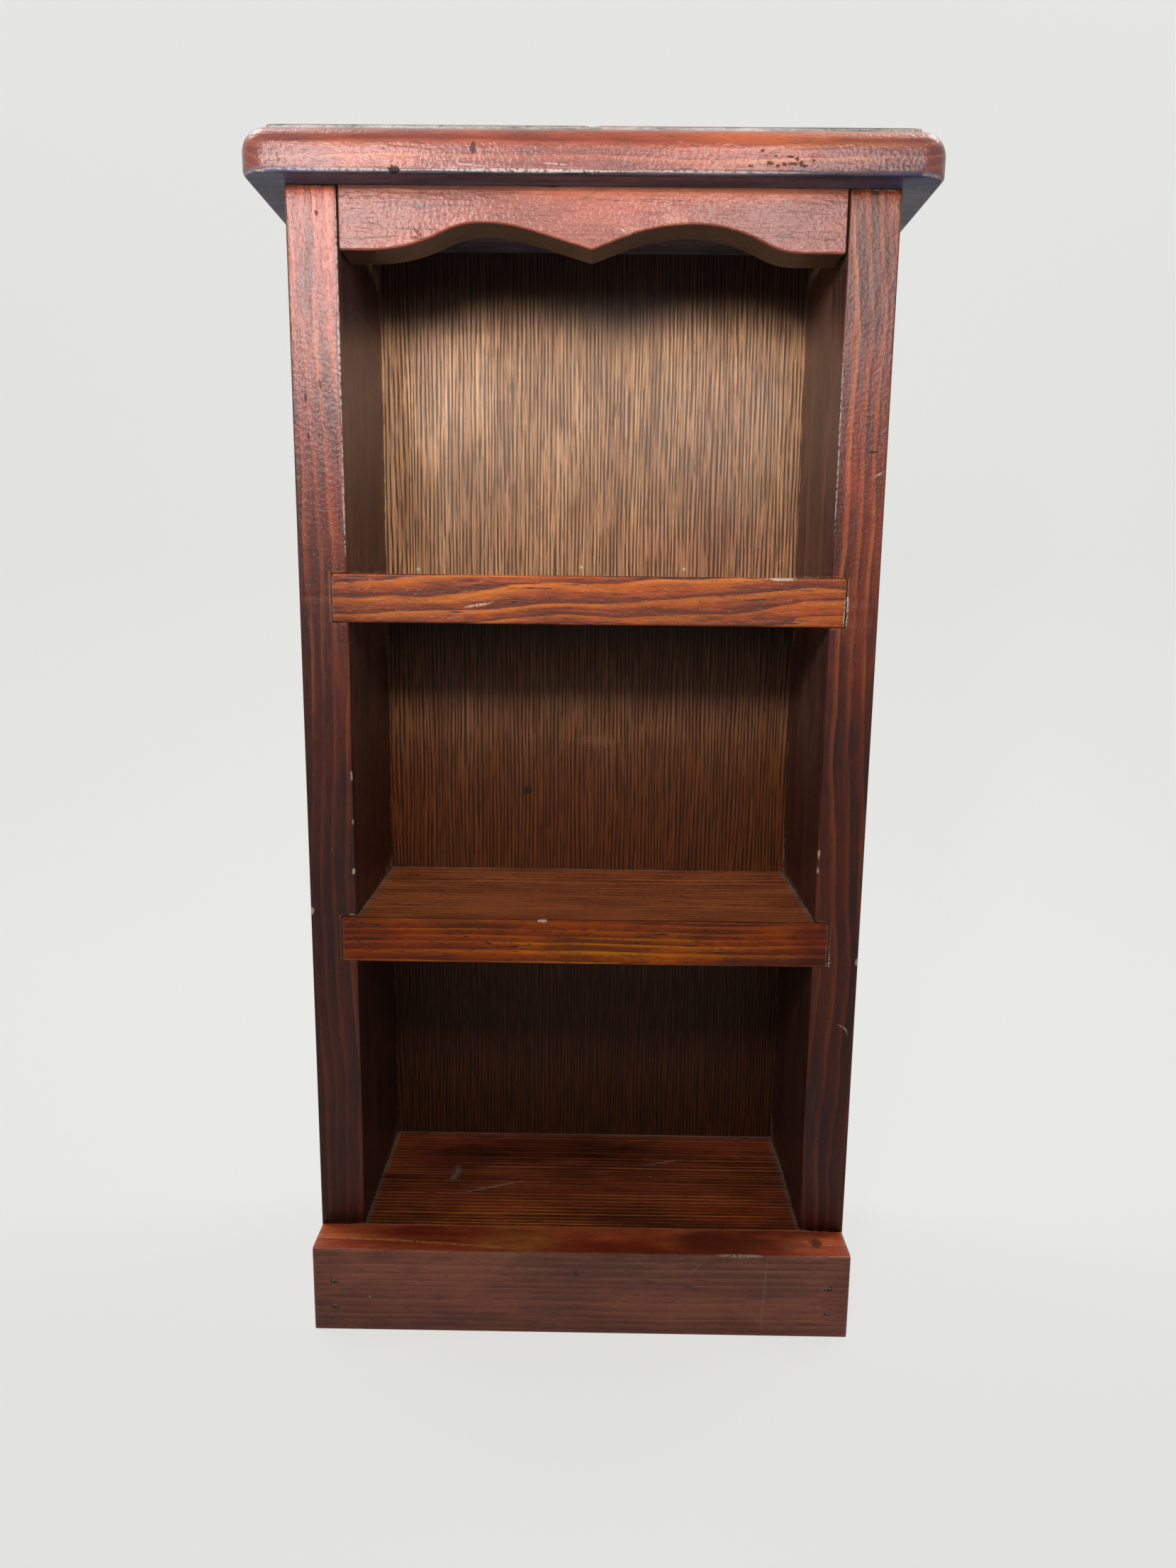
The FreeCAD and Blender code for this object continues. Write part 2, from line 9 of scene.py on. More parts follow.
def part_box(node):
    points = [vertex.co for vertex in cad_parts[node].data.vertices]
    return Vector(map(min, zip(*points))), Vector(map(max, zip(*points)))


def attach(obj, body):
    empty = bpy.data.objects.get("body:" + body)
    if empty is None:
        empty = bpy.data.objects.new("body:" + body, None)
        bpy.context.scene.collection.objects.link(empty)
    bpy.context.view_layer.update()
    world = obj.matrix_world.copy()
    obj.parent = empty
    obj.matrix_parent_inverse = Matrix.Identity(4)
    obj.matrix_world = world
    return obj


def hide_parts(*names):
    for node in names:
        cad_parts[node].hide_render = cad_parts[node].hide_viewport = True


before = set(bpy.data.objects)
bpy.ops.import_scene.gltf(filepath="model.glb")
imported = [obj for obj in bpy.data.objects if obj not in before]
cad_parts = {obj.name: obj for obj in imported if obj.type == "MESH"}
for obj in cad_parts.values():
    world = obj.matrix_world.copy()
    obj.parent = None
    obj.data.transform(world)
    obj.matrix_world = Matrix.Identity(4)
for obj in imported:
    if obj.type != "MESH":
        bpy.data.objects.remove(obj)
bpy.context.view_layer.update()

# The photograph's camera: place in metres, turns in radians, and the lens over its long side
CAMERA_PLACE = (0.00437, -0.46946, 0.31585)
CAMERA_PITCH = 0.1816
CAMERA_ROLL = -0.0108
CAMERA_YAW = 0.0086
PHOTO_HEIGHT = 2212
FOCAL_PIXELS = 1533.7
SENSOR_MM = 36.0
NEAREST_SEEN = 0.01

MM = 0.001
# Vertices closer than this are one, in metres
MERGE_DISTANCE = 0.001 * MM

# Each board's vertices keep their distance from the nearest arris, in millimetres
ARRIS_DISTANCE = "arris_distance"


def new_object(name, data):
    """An object in the scene with its mesh, lamp or camera."""
    made = bpy.data.objects.new(name, data)
    bpy.context.scene.collection.objects.link(made)
    return made


def place_camera():
    """The camera at the photograph's place, angle and lens."""
    data = bpy.data.cameras.new("photo_camera")
    data.sensor_width = SENSOR_MM
    data.lens = FOCAL_PIXELS / PHOTO_HEIGHT * SENSOR_MM
    data.clip_start = NEAREST_SEEN
    camera = new_object("photo_camera", data)
    turn = (
        Matrix.Rotation(CAMERA_YAW, 3, "Z")
        @ Matrix.Rotation(-CAMERA_PITCH, 3, "X")
        @ Matrix.Rotation(CAMERA_ROLL, 3, "Y")
    )
    right, ahead, up = turn.col[0], turn.col[1], turn.col[2]
    facing = Matrix((right, up, -ahead)).transposed().to_4x4()
    camera.matrix_world = Matrix.Translation(CAMERA_PLACE) @ facing
    bpy.context.scene.camera = camera


class Recipe:
    """The nodes of one finish or one group, added step by step."""

    def __init__(self, tree):
        self.tree = tree

    def feed(self, socket, given):
        """Link a socket to another, or set it to a number, a colour of three numbers or a place."""
        if isinstance(given, bpy.types.NodeSocket):
            self.tree.links.new(given, socket)
        elif socket.type == "RGBA":
            socket.default_value = (*given, 1.0)
        else:
            socket.default_value = given

    def fill(self, node, inputs):
        """Feed a node's inputs, given as (name or number, what goes in)."""
        for socket, given in inputs:
            self.feed(node.inputs[socket], given)
        return node

    def node(self, kind, inputs=(), **settings):
        """A new node with its settings and its inputs fed."""
        made = self.tree.nodes.new(kind)
        for name, setting in settings.items():
            setattr(made, name, setting)
        return self.fill(made, inputs)

    def first(self, kind, inputs=(), **settings):
        """The first output of a new node."""
        return self.node(kind, inputs, **settings).outputs[0]

    def sum(self, operation, *numbers, clamp=False):
        """One step of arithmetic on numbers."""
        return self.first(
            "ShaderNodeMath", enumerate(numbers), operation=operation, use_clamp=clamp)

    def times(self, first, second):
        """One number times another."""
        return self.sum("MULTIPLY", first, second)

    def times_plus(self, first, second, third, clamp=False):
        """One number times another, plus a third."""
        return self.sum("MULTIPLY_ADD", first, second, third, clamp=clamp)

    def minus(self, first, second):
        """One number less another."""
        return self.sum("SUBTRACT", first, second)

    def move(self, operation, *places):
        """One step of arithmetic on places."""
        made = self.node("ShaderNodeVectorMath", enumerate(places), operation=operation)
        single = operation in ("LENGTH", "DISTANCE", "DOT_PRODUCT")
        return made.outputs["Value" if single else "Vector"]

    def scale(self, place, factor):
        """A place made larger or smaller."""
        return self.first("ShaderNodeVectorMath", [(0, place), (3, factor)], operation="SCALE")

    def rise(self, number, low, high, bottom=0.0, top=1.0):
        """A smooth rise from bottom to top as a number goes from low to high."""
        limits = [(0, number), (1, low), (2, high), (3, bottom), (4, top)]
        return self.first("ShaderNodeMapRange", limits, interpolation_type="SMOOTHSTEP")

    def fall(self, number, low, high):
        """A smooth fall from one to nothing as a number goes from low to high."""
        return self.rise(number, low, high, 1.0, 0.0)

    def noise(self, place, scale=1.0, detail=2.0, roughness=0.5, output=0):
        """A noise's number or colour. Its scale is one number, or three for the three axes."""
        if isinstance(scale, tuple):
            place, scale = self.move("MULTIPLY", place, scale), 1.0
        return self.node("ShaderNodeTexNoise", [
            ("Vector", place), ("Scale", scale), ("Detail", detail), ("Roughness", roughness),
        ]).outputs[output]

    def blend(self, share, first, second, kind="MIX"):
        """One colour over another."""
        inputs = ((0, share), (6, first), (7, second))
        return self.node("ShaderNodeMix", inputs, data_type="RGBA", blend_type=kind).outputs[2]

    def split(self, place):
        """The three numbers of a place."""
        return self.node("ShaderNodeSeparateXYZ", [(0, place)]).outputs

    def unite(self, x, y, z):
        """A place from three numbers."""
        return self.first("ShaderNodeCombineXYZ", [(0, x), (1, y), (2, z)])

    def call(self, group, **inputs):
        """A node group's outputs, fed by its inputs' names."""
        named = [(label.replace("_", " ").title(), given) for label, given in inputs.items()]
        return self.node("ShaderNodeGroup", named, node_tree=group).outputs


def new_group(name, inputs, outputs, kind="Shader"):
    """A node group with inputs (name, kind) and outputs, all numbers but for a geometry; gives its
    recipe, its inputs and a function that sets its outputs."""
    tree = bpy.data.node_groups.new(name, kind + "NodeTree")
    for label, sort in inputs:
        tree.interface.new_socket(label, in_out="INPUT", socket_type="NodeSocket" + sort)
    for label in outputs:
        sort = "Geometry" if label == "Geometry" else "Float"
        tree.interface.new_socket(label, in_out="OUTPUT", socket_type="NodeSocket" + sort)
    recipe = Recipe(tree)
    entry, leaving = recipe.node("NodeGroupInput"), recipe.node("NodeGroupOutput")

    def give(**results):
        recipe.fill(leaving, [
            (label.replace("_", " ").title(), result) for label, result in results.items()])

    return recipe, entry.outputs, give


def fresh_recipe(owner):
    """The recipe of a material or world without nodes."""
    owner.use_nodes = True
    owner.node_tree.nodes.clear()
    return Recipe(owner.node_tree)


def make_growth_rings():
    """Solid pine: growth rings round a pith that lies along X, fine fibre, pores and dark streaks.
    Places are in millimetres. Lean is how far the grain runs off to the side, per millimetre."""
    r, given, give = new_group("growth_rings", [
        ("Place", "Vector"), ("Pith", "Vector"), ("Lean", "Vector"), ("Ring Width", "Float"),
        ("Wander", "Float"), ("Wobble", "Float"), ("Seed", "Float"),
    ], ["Latewood", "Shade", "Fibre", "Pore", "Streak", "Cloud"])
    place = given["Place"]
    own = r.move("ADD", place, r.scale((59, 17, 5), given["Seed"]))
    slow = r.noise(own, (1 / 110, 1 / 60, 1 / 60), detail=1.5, output="Color")
    centred = r.move("SUBTRACT", slow, (0.5, 0.5, 0.5))
    drift = r.scale(r.move("MULTIPLY", centred, (0, 2, 2)), given["Wander"])
    leaning = r.move("ADD", place, r.scale(given["Lean"], r.split(place)[0]))
    across = r.move("SUBTRACT", r.move("ADD", leaning, drift), given["Pith"])
    away = r.move("LENGTH", r.move("MULTIPLY", across, (0, 1, 1)))
    radius = r.sum("DIVIDE", away, given["Ring Width"])
    unevenness = r.noise(own, (1 / 45, 1 / 6, 1 / 6))
    rings = r.times_plus(r.minus(unevenness, 0.5), r.times(given["Wobble"], 4), radius)
    spacing = r.noise(r.unite(r.times(radius, 0.4), given["Seed"], 0), detail=0)
    rings = r.sum("ADD", rings, spacing)
    turn = r.sum("FRACT", rings)
    each_ring = r.first(
        "ShaderNodeTexWhiteNoise", [("W", r.sum("FLOOR", rings))], noise_dimensions="1D")
    patches = r.noise(own, (1 / 50, 1 / 5, 1 / 5))
    latewood = r.times(r.rise(turn, 0.45, 0.86), r.fall(turn, 0.90, 1))
    latewood = r.times(latewood, r.rise(patches, 0.3, 0.6, 0.3, 1))
    latewood = r.times(latewood, r.times_plus(each_ring, 0.7, 0.3))
    fibre = r.noise(own, (1 / 12, 1, 1), detail=5, roughness=0.78)
    pore = r.noise(own, (1 / 3.5, 1.6, 1.6))
    streak = r.noise(own, (1 / 24, 0.8, 0.8), roughness=0.6)
    cloud = r.noise(own, (1 / 48, 1 / 13, 1 / 13), detail=3, roughness=0.6)
    give(
        latewood=latewood, shade=r.fall(turn, 0, 0.35), fibre=fibre,
        pore=r.rise(pore, 0.60, 0.70), streak=r.rise(streak, 0.64, 0.69),
        cloud=r.rise(cloud, 0.3, 0.7),
    )
    return r.tree


def wear_near_arris(r, place, distance, rub, chip):
    """Wear towards an arris: shares rubbed through the varnish, and chipped to bare wood."""
    patches = r.noise(place, 1 / 14, detail=3, roughness=0.6)
    crumbs = r.noise(place, 1 / 1.1, detail=3, roughness=0.65)
    worn = r.minus(r.times_plus(crumbs, 0.5, patches), r.minus(1, rub))
    rubbed = r.times(r.fall(distance, 0, 1.3), r.rise(worn, 0.1, 0.35))
    bite = r.times_plus(patches, 0.8, r.times(crumbs, 0.7))
    bite = r.times_plus(distance, -0.16, bite)
    bite = r.times_plus(chip, 0.5, bite)
    return rubbed, r.rise(bite, 1.02, 1.06)


def make_wear():
    """The wear near an arris, as a group for the finishes."""
    r, given, give = new_group("arris_wear", [
        ("Place", "Vector"), ("Distance", "Float"), ("Rub", "Float"), ("Chip", "Float"),
    ], ["Rubbed", "Chipped"])
    needed = [given[name] for name in ("Place", "Distance", "Rub", "Chip")]
    rubbed, chipped = wear_near_arris(r, *needed)
    give(rubbed=rubbed, chipped=chipped)
    return r.tree


def make_dab():
    """A spot with a ragged edge, such as a dent, knot, speck or chip, and a soft one for washes."""
    r, given, give = new_group("dab", [
        ("Place", "Vector"), ("Centre", "Vector"), ("Size", "Vector"), ("Ragged", "Float"),
    ], ["Share", "Soft"])
    offset = r.move("DIVIDE", r.move("SUBTRACT", given["Place"], given["Centre"]), given["Size"])
    rag = r.noise(given["Place"], 1.3)
    away = r.move("LENGTH", offset)
    reach = r.times_plus(r.minus(rag, 0.5), r.times(given["Ragged"], 4), away)
    clouds = r.noise(given["Place"], (1 / 14, 1 / 6, 1 / 6), detail=3)
    drifting = r.times_plus(r.minus(clouds, 0.5), 1.2, away)
    give(share=r.fall(reach, 0.7, 1.05), soft=r.fall(drifting, 0.3, 1.1))
    return r.tree


def make_scratch():
    """A thin bowed line between two places, thinner at its ends."""
    r, given, give = new_group("scratch", [
        ("Place", "Vector"), ("Start", "Vector"), ("End", "Vector"), ("Bow", "Vector"),
        ("Width", "Float"),
    ], ["Share"])
    run = r.move("SUBTRACT", given["End"], given["Start"])
    reach = r.move("SUBTRACT", given["Place"], given["Start"])
    along = r.sum(
        "DIVIDE", r.move("DOT_PRODUCT", reach, run), r.move("DOT_PRODUCT", run, run), clamp=True)
    swell = r.times(r.times(along, r.minus(1, along)), 4)
    straight = r.move("ADD", given["Start"], r.scale(run, along))
    line = r.move("ADD", straight, r.scale(given["Bow"], swell))
    away = r.sum("DIVIDE", r.move("DISTANCE", given["Place"], line), given["Width"])
    broken = r.noise(given["Place"], 0.8)
    share = r.fall(r.sum("DIVIDE", away, r.sum("ADD", swell, 0.15)), 0.35, 1)
    give(share=r.times(share, r.rise(broken, 0.35, 0.55)))
    return r.tree


# What shows where the stain is filled, rubbed, chipped or dirty
PORE_BLACK = (0.004, 0.003, 0.003)
RUBBED_WOOD = (0.55, 0.3, 0.2)
BARE_WOOD = (0.60, 0.45, 0.36)
DIRT = (0.01, 0.006, 0.005)
DUST_SPECK = (0.40, 0.30, 0.24)
WOOD_ROUGHNESS = 0.45

GROWTH_RINGS = make_growth_rings()
ARRIS_WEAR = make_wear()
DAB = make_dab()
SCRATCH = make_scratch()


def varnished(name, coat, coat_roughness):
    """A new material with a varnished surface; gives the material, its recipe and its surface."""
    material = bpy.data.materials.new(name)
    r = fresh_recipe(material)
    surface = r.node("ShaderNodeBsdfPrincipled", [
        ("Coat Weight", coat), ("Coat Roughness", coat_roughness), ("IOR", 1.5),
        ("Specular IOR Level", 0.15),
    ])
    r.node("ShaderNodeOutputMaterial", [("Surface", surface.outputs[0])])
    return material, r, surface


# A mark is its tint, share, node group, the output that it takes, and the group's inputs
def wash(tint, share, centre, size):
    """A large soft patch that tints the stain; some washes are painted highlights and some painted
    shade.
    """
    return tint, share, DAB, "Soft", dict(centre=centre, size=size)


def dab(tint, share, centre, size, ragged=0.3):
    """A small spot of another colour."""
    return tint, share, DAB, "Share", dict(centre=centre, size=size, ragged=ragged)


def scratch(tint, share, start, end, width=0.35, bow=(0, 0, 0)):
    """A thin line of another colour."""
    return tint, share, SCRATCH, "Share", dict(start=start, end=end, width=width, bow=bow)


def marked(r, place, body, marks):
    """The body's colour with its marks put on, and the share that the spots and lines take."""
    taken = 0.0
    for tint, share, group, output, inputs in marks:
        reach = r.times(r.call(group, place=place, **inputs)[output], share)
        if output == "Soft":
            body = r.blend(reach, body, tint, "MULTIPLY")
        else:
            taken = r.sum("MAXIMUM", taken, reach)
            body = r.blend(reach, body, tint)
    return body, taken


def share_between(r, place, axis, start, end):
    """The share that grows as a place goes from one number to another along an axis."""
    number = r.split(place)["XYZ".index(axis)]
    return r.rise(number, start, end) if start < end else r.fall(number, end, start)


def object_place(r):
    """The place on an object, in millimetres."""
    return r.scale(r.node("ShaderNodeTexCoord").outputs["Object"], 1 / MM)


def bump(r, height, strength, depth):
    """The way a surface faces where a height lifts it, by a depth in metres."""
    inputs = [("Strength", strength), ("Distance", depth), ("Height", height)]
    return r.first("ShaderNodeBump", inputs)


def stained_pine(
    node, along, pith, ring_width, palette, seed, zones=(), marks=(), lean=(0, 0), wander=2.0,
    wobble=0.08, line=0.5, shade=0.35, pores=0.5, streaks=0.4, rub=0.5, chip=0.2, coat=0.35,
    coat_roughness=0.28, mottle=1.1, relief=1.0, polish=None,
):
    """The finish of one pine board: stain over growth rings, and varnish worn off at the arrises.
    A palette is the colours of the dark wood, the plain wood and the bright ring lines. A zone is
    (palette, axis, from, to), and one more axis, from and to where it has a second limit: its
    palette takes over as the place goes from one to the other. Polish is (least share, axis, from,
    to) of the varnish."""
    material, r, surface = varnished(node + "_stain", coat, coat_roughness)
    place = object_place(r)
    x, y, z = r.split(place)
    turned = place if along == "X" else r.unite(z, y, x)
    grain = r.call(
        GROWTH_RINGS, place=turned, pith=(0, *pith), lean=(0, *lean), ring_width=ring_width,
        wander=wander, wobble=wobble, seed=seed,
    )

    # Stain, with zones and washes that include painted light and shade
    shades = palette
    for other, *limits in zones:
        share = share_between(r, place, *limits[:3])
        if limits[3:]:
            share = r.times(share, share_between(r, place, *limits[3:]))
        shades = [r.blend(share, ours, theirs) for ours, theirs in zip(shades, other)]
    deep, stain, glow = shades
    tone = r.times_plus(r.minus(grain["Fibre"], 0.5), mottle * 1.6, grain["Cloud"])
    tone = r.times_plus(grain["Shade"], -shade, tone, clamp=True)
    body = r.blend(tone, deep, stain)
    body = r.blend(r.times(grain["Latewood"], line), body, glow)
    dark = r.sum("MAXIMUM", r.times(grain["Pore"], pores), r.times(grain["Streak"], streaks))
    body = r.blend(dark, body, r.blend(0.75, deep, PORE_BLACK))
    body, _ = marked(r, place, body, [mark for mark in marks if mark[3] == "Soft"])

    # Wear, dirt and single marks; the pale arris lines among them are partly painted highlights
    distance = r.node("ShaderNodeAttribute", attribute_name=ARRIS_DISTANCE).outputs["Fac"]
    wear = r.call(ARRIS_WEAR, place=place, distance=distance, rub=rub, chip=chip)
    body = r.blend(r.times(wear["Rubbed"], 0.5), body, r.blend(0.25, glow, RUBBED_WOOD))
    body = r.blend(r.times(wear["Chipped"], 0.9), body, BARE_WOOD)
    dirt = r.rise(r.noise(place, 1 / 0.8, roughness=0.7), 0.62, 0.70)
    body = r.blend(r.times(dirt, 0.6), body, r.blend(0.6, deep, DIRT))
    specks = r.rise(r.noise(place, 1 / 0.9, detail=1), 0.775, 0.80)
    body = r.blend(r.times(specks, 0.5), body, DUST_SPECK)
    body, taken = marked(r, place, body, [mark for mark in marks if mark[3] != "Soft"])

    # Varnish left, gloss and relief
    if polish:
        least, *limits = polish
        film_left = r.times_plus(
            share_between(r, place, *limits), coat * (1 - least), coat * least)
        r.feed(surface.inputs["Coat Weight"], r.times(film_left, r.minus(1, taken)))
    smudge = r.noise(place, 1 / 25, detail=4, roughness=0.65)
    gloss = r.times_plus(r.minus(smudge, 0.5), 0.35, WOOD_ROUGHNESS)
    gloss = r.times_plus(wear["Chipped"], 0.3, gloss, clamp=True)
    height = r.times_plus(grain["Latewood"], 0.4, r.times(grain["Fibre"], 0.8))
    height = r.times_plus(dark, -0.8, height)
    height = r.times_plus(wear["Chipped"], -2, height)
    brushed = r.noise(turned, (1 / 14, 1 / 2.4, 1 / 2.4))
    lumps = r.noise(place, 1 / 1.5)
    film = r.times_plus(lumps, 0.9, r.times_plus(height, 0.12, brushed))
    film = r.times_plus(taken, -1.5, film)
    r.fill(surface, [
        ("Base Color", body), ("Roughness", gloss), ("Normal", bump(r, height, 0.8, 0.12 * MM)),
        ("Coat Normal", bump(r, film, relief, 0.3 * MM)),
    ])
    return material


# The shade at the head of each bay on the back: its full height, its depth and its share
BACK_SHADE = ((446, 24, 0.85), (300, 46, 0.93), (160, 40, 0.7))
# The plywood's front face, and the limits between which its stain gives way to bare wood
BACK_FACE = 47.6
BACK_BARE = (49.0, 52.0)


def stained_plywood():
    """The back: open-grained plywood with thin dark pores that run up and down, stained tan to
    brown inside the case and bare behind. Inside, it is painted lighter high up, darker towards the
    bottom and dark at the head of each bay, as painted light and shade."""
    material, r, surface = varnished("back_panel_stain", 0.55, 0.36)
    place = object_place(r)
    x, y, z = r.split(place)
    drift = r.noise(place, (1 / 11, 0, 1 / 130), detail=3)
    turns = r.times_plus(drift, 3.4, r.sum("DIVIDE", x, 1.75))
    wave = r.sum("SINE", r.times(turns, 2 * math.pi))
    broad = r.noise(place, (1 / 16, 0, 1 / 80), detail=3)
    broken = r.noise(place, (0.5, 5, 1 / 24))
    vessels = r.times(r.rise(wave, -0.1, 0.55), r.rise(broken, 0.3, 0.52, 0.25, 1))
    thin = r.noise(place, (1.5, 3, 1 / 60), detail=1)
    threads = r.rise(r.sum("ABSOLUTE", r.minus(thin, 0.5)), 0.02, 0.07, 0.6, 0)
    dashes = r.noise(place, (2.2, 7, 1 / 10), roughness=0.6)
    dashes = r.rise(dashes, 0.58, 0.68, 0, 0.7)
    dark = r.sum("MAXIMUM", r.sum("MAXIMUM", vessels, threads), dashes)
    # Inside: lighter high up and darker towards the bottom, as painted light and shade
    inside = r.blend(r.rise(broad, 0.3, 0.7), (0.45, 0.215, 0.10), (0.63, 0.325, 0.155))
    inside = r.blend(r.fall(z, 215, 325), inside, (0.170, 0.046, 0.010))
    inside = r.blend(r.fall(z, 95, 190), inside, (0.092, 0.028, 0.009))
    for top, deep, share in BACK_SHADE:
        under = r.times(r.rise(z, top - deep, top), r.fall(z, top + 16, top + 17))
        inside = r.blend(r.times(under, share), inside, (0.014, 0.009, 0.010))
    bare = r.blend(r.rise(broad, 0.3, 0.7), (0.36, 0.20, 0.115), (0.46, 0.28, 0.165))
    ridge = r.blend(r.rise(y, *BACK_BARE), inside, bare)
    body = r.blend(r.times(dark, 0.96), ridge, r.blend(0.9, ridge, (0.008, 0.004, 0.003)))
    body, _ = marked(r, place, body, [
        wash((0.7, 0.5, 0.5), 0.5, (60, BACK_FACE, 330), (50, 4, 25)),
        # Painted highlight: a pale glow high on the left of the back
        wash((1.5, 1.6, 1.8), 0.8, (-66, BACK_FACE, 405), (36, 4, 34)),
        dab((0.02, 0.008, 0.006), 0.8, (-29.1, BACK_FACE, 217.4), (2.4, 3, 2.2), 0.35),
        dab((0.34, 0.17, 0.09), 0.22, (5, BACK_FACE, 242.1), (10, 3, 2.6), 0.9),
        *[
            dab((0.6, 0.55, 0.5), 0.7, (across, BACK_FACE, height), (size, 2, size))
            for across, height, size in ((-80.5, 322, 0.9), (-4.3, 323.7, 0.8), (43.6, 323.3, 0.8))
        ],
    ])
    film = r.times(r.rise(z, 290, 390, 0.06, 0.55), r.fall(y, *BACK_BARE))
    facing = bump(r, r.times(dark, -1), 0.7, 0.2 * MM)
    r.fill(surface, [
        ("Base Color", body), ("Roughness", r.times_plus(dark, 0.15, 0.45)),
        ("Coat Weight", film), ("Normal", facing), ("Coat Normal", facing),
    ])
    return material


def nail_steel():
    """Dull steel, dark with stain."""
    material, r, surface = varnished("nail_steel_stained", 0.0, 0.3)
    place = object_place(r)
    stain = r.noise(place, 1.1, detail=3)
    shade = r.blend(r.rise(stain, 0.4, 0.65), (0.05, 0.035, 0.03), (0.30, 0.24, 0.2))
    r.fill(surface, [
        ("Base Color", shade), ("Metallic", 0.6), ("Roughness", r.rise(stain, 0.3, 0.7, 0.35, 0.6)),
    ])
    return material


def new_piece(name, mesh, slot, *nodes):
    """A finished piece that stands for CAD nodes. Its slot is not used."""
    piece = new_object(name, mesh)
    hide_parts(*nodes)
    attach(piece, "root")
    return piece


def steps_between(low, high, step):
    """Evenly spaced places strictly between two limits, about a step apart."""
    count = max(1, round((high - low) / step))
    return [low + (high - low) * index / count for index in range(1, count)]


def steps_beside(low, high, steps):
    """Places a few steps in from each of two limits."""
    return [low + step for step in steps] + [high - step for step in steps]


def opened(mesh):
    """A mesh's vertices, edges and faces, to be changed."""
    shape = bmesh.new()
    shape.from_mesh(mesh)
    return shape


def closed(shape, mesh):
    """The mesh with the changes made to its shape."""
    shape.to_mesh(mesh)
    shape.free()
    return mesh


def cut_by_planes(shape, cuts):
    """Cut a shape by planes, given as (axis number, places in millimetres)."""
    for axis, places in cuts:
        normal = Vector([float(index == axis) for index in range(3)])
        for place in places:
            everything = list(shape.verts) + list(shape.edges) + list(shape.faces)
            bmesh.ops.bisect_plane(
                shape, geom=everything, dist=MERGE_DISTANCE / 2, plane_co=normal * place * MM,
                plane_no=normal)


# An arris bends at least this much, and is measured from points this many millimetres apart
ARRIS_ANGLE = math.radians(25)
ARRIS_SPACING = 0.4


def points_on_arrises(shape, shortest):
    """Closely spaced points on the sharp edges that are no shorter than a length."""
    points = []
    for edge in shape.edges:
        if len(edge.link_faces) != 2 or edge.calc_face_angle() < ARRIS_ANGLE:
            continue
        start, end = [vert.co.copy() for vert in edge.verts]
        length = (end - start).length / MM
        if length < shortest:
            continue
        steps = max(1, round(length / ARRIS_SPACING))
        points += [start.lerp(end, step / steps) for step in range(steps + 1)]
    return points


def note_arris_distance(shape, points):
    """Write each vertex's distance from the nearest of the points on the arrises."""
    tree = KDTree(len(points))
    for index, point in enumerate(points):
        tree.insert(point, index)
    tree.balance()
    layer = shape.verts.layers.float.new(ARRIS_DISTANCE)
    for vert in shape.verts:
        vert[layer] = tree.find(vert.co)[2] / MM


def finish_shape(r, give, given, shape):
    """End a geometry tree with its shape in the finish that it is given."""
    made = r.first("GeometryNodeRealizeInstances", [(0, shape)])
    give(geometry=r.first(
        "GeometryNodeSetMaterial", [("Geometry", made), ("Material", given["Finish"])]))
    return r.tree


def make_worn_board():
    """Geometry nodes that wear a board: its arrises wander a little and lose chips, in the same
    places as the finish shows them. Sizes are in millimetres."""
    r, given, give = new_group("worn_board", [
        ("Geometry", "Geometry"), ("Rub", "Float"), ("Chip", "Float"), ("Chip Depth", "Float"),
        ("Wander", "Float"), ("Finish", "Material"),
    ], ["Geometry"], "Geometry")
    place = r.scale(r.first("GeometryNodeInputPosition"), 1 / MM)
    distance = r.first(
        "GeometryNodeInputNamedAttribute", [("Name", ARRIS_DISTANCE)], data_type="FLOAT")
    rubbed, chipped = wear_near_arris(r, place, distance, given["Rub"], given["Chip"])
    waves = r.noise(place, 1 / 12)
    near = r.fall(distance, 0, 1.5)
    depth = r.times(r.times(waves, near), given["Wander"])
    depth = r.times_plus(r.times(chipped, near), given["Chip Depth"], depth)
    inward = r.scale(r.first("GeometryNodeInputNormal"), r.times(depth, -MM))
    worn = r.first("GeometryNodeSetPosition", [("Geometry", given["Geometry"]), ("Offset", inward)])
    return finish_shape(r, give, given, worn)


def shape_by_nodes(mesh, tree, inputs, name):
    """A plain mesh made from another by a geometry nodes tree with its named inputs."""
    carrier = new_object(name + "_before", mesh)
    modifier = carrier.modifiers.new("shape", "NODES")
    modifier.node_group = tree
    for item in tree.interface.items_tree:
        if item.item_type == "SOCKET" and item.in_out == "INPUT" and item.name in inputs:
            modifier[item.identifier] = inputs[item.name]
    return plain_mesh(carrier, name)


def plain_mesh(carrier, name):
    """The mesh that an object's modifiers give; the object goes."""
    carrier.update_tag()
    seen = carrier.evaluated_get(bpy.context.evaluated_depsgraph_get())
    result = bpy.data.meshes.new_from_object(seen)
    result.name = name
    bpy.data.objects.remove(carrier)
    return result


def smooth_over(mesh, angle):
    """Smooth shading over bends below an angle, with flat faces kept flat."""
    for face in mesh.polygons:
        face.use_smooth = True
    mesh.set_sharp_from_angle(angle=math.radians(angle))
    carrier = new_object(mesh.name + "_before", mesh)
    weighted = carrier.modifiers.new("flat_faces", "WEIGHTED_NORMAL")
    weighted.keep_sharp = True
    return plain_mesh(carrier, mesh.name)


# Bends below this are shaded smooth, in degrees
SMOOTH_BELOW = 35
# How deep a chip is and how far a worn arris wanders, in millimetres
CHIP_DEPTH = 0.45
ARRIS_WANDER = 0.25


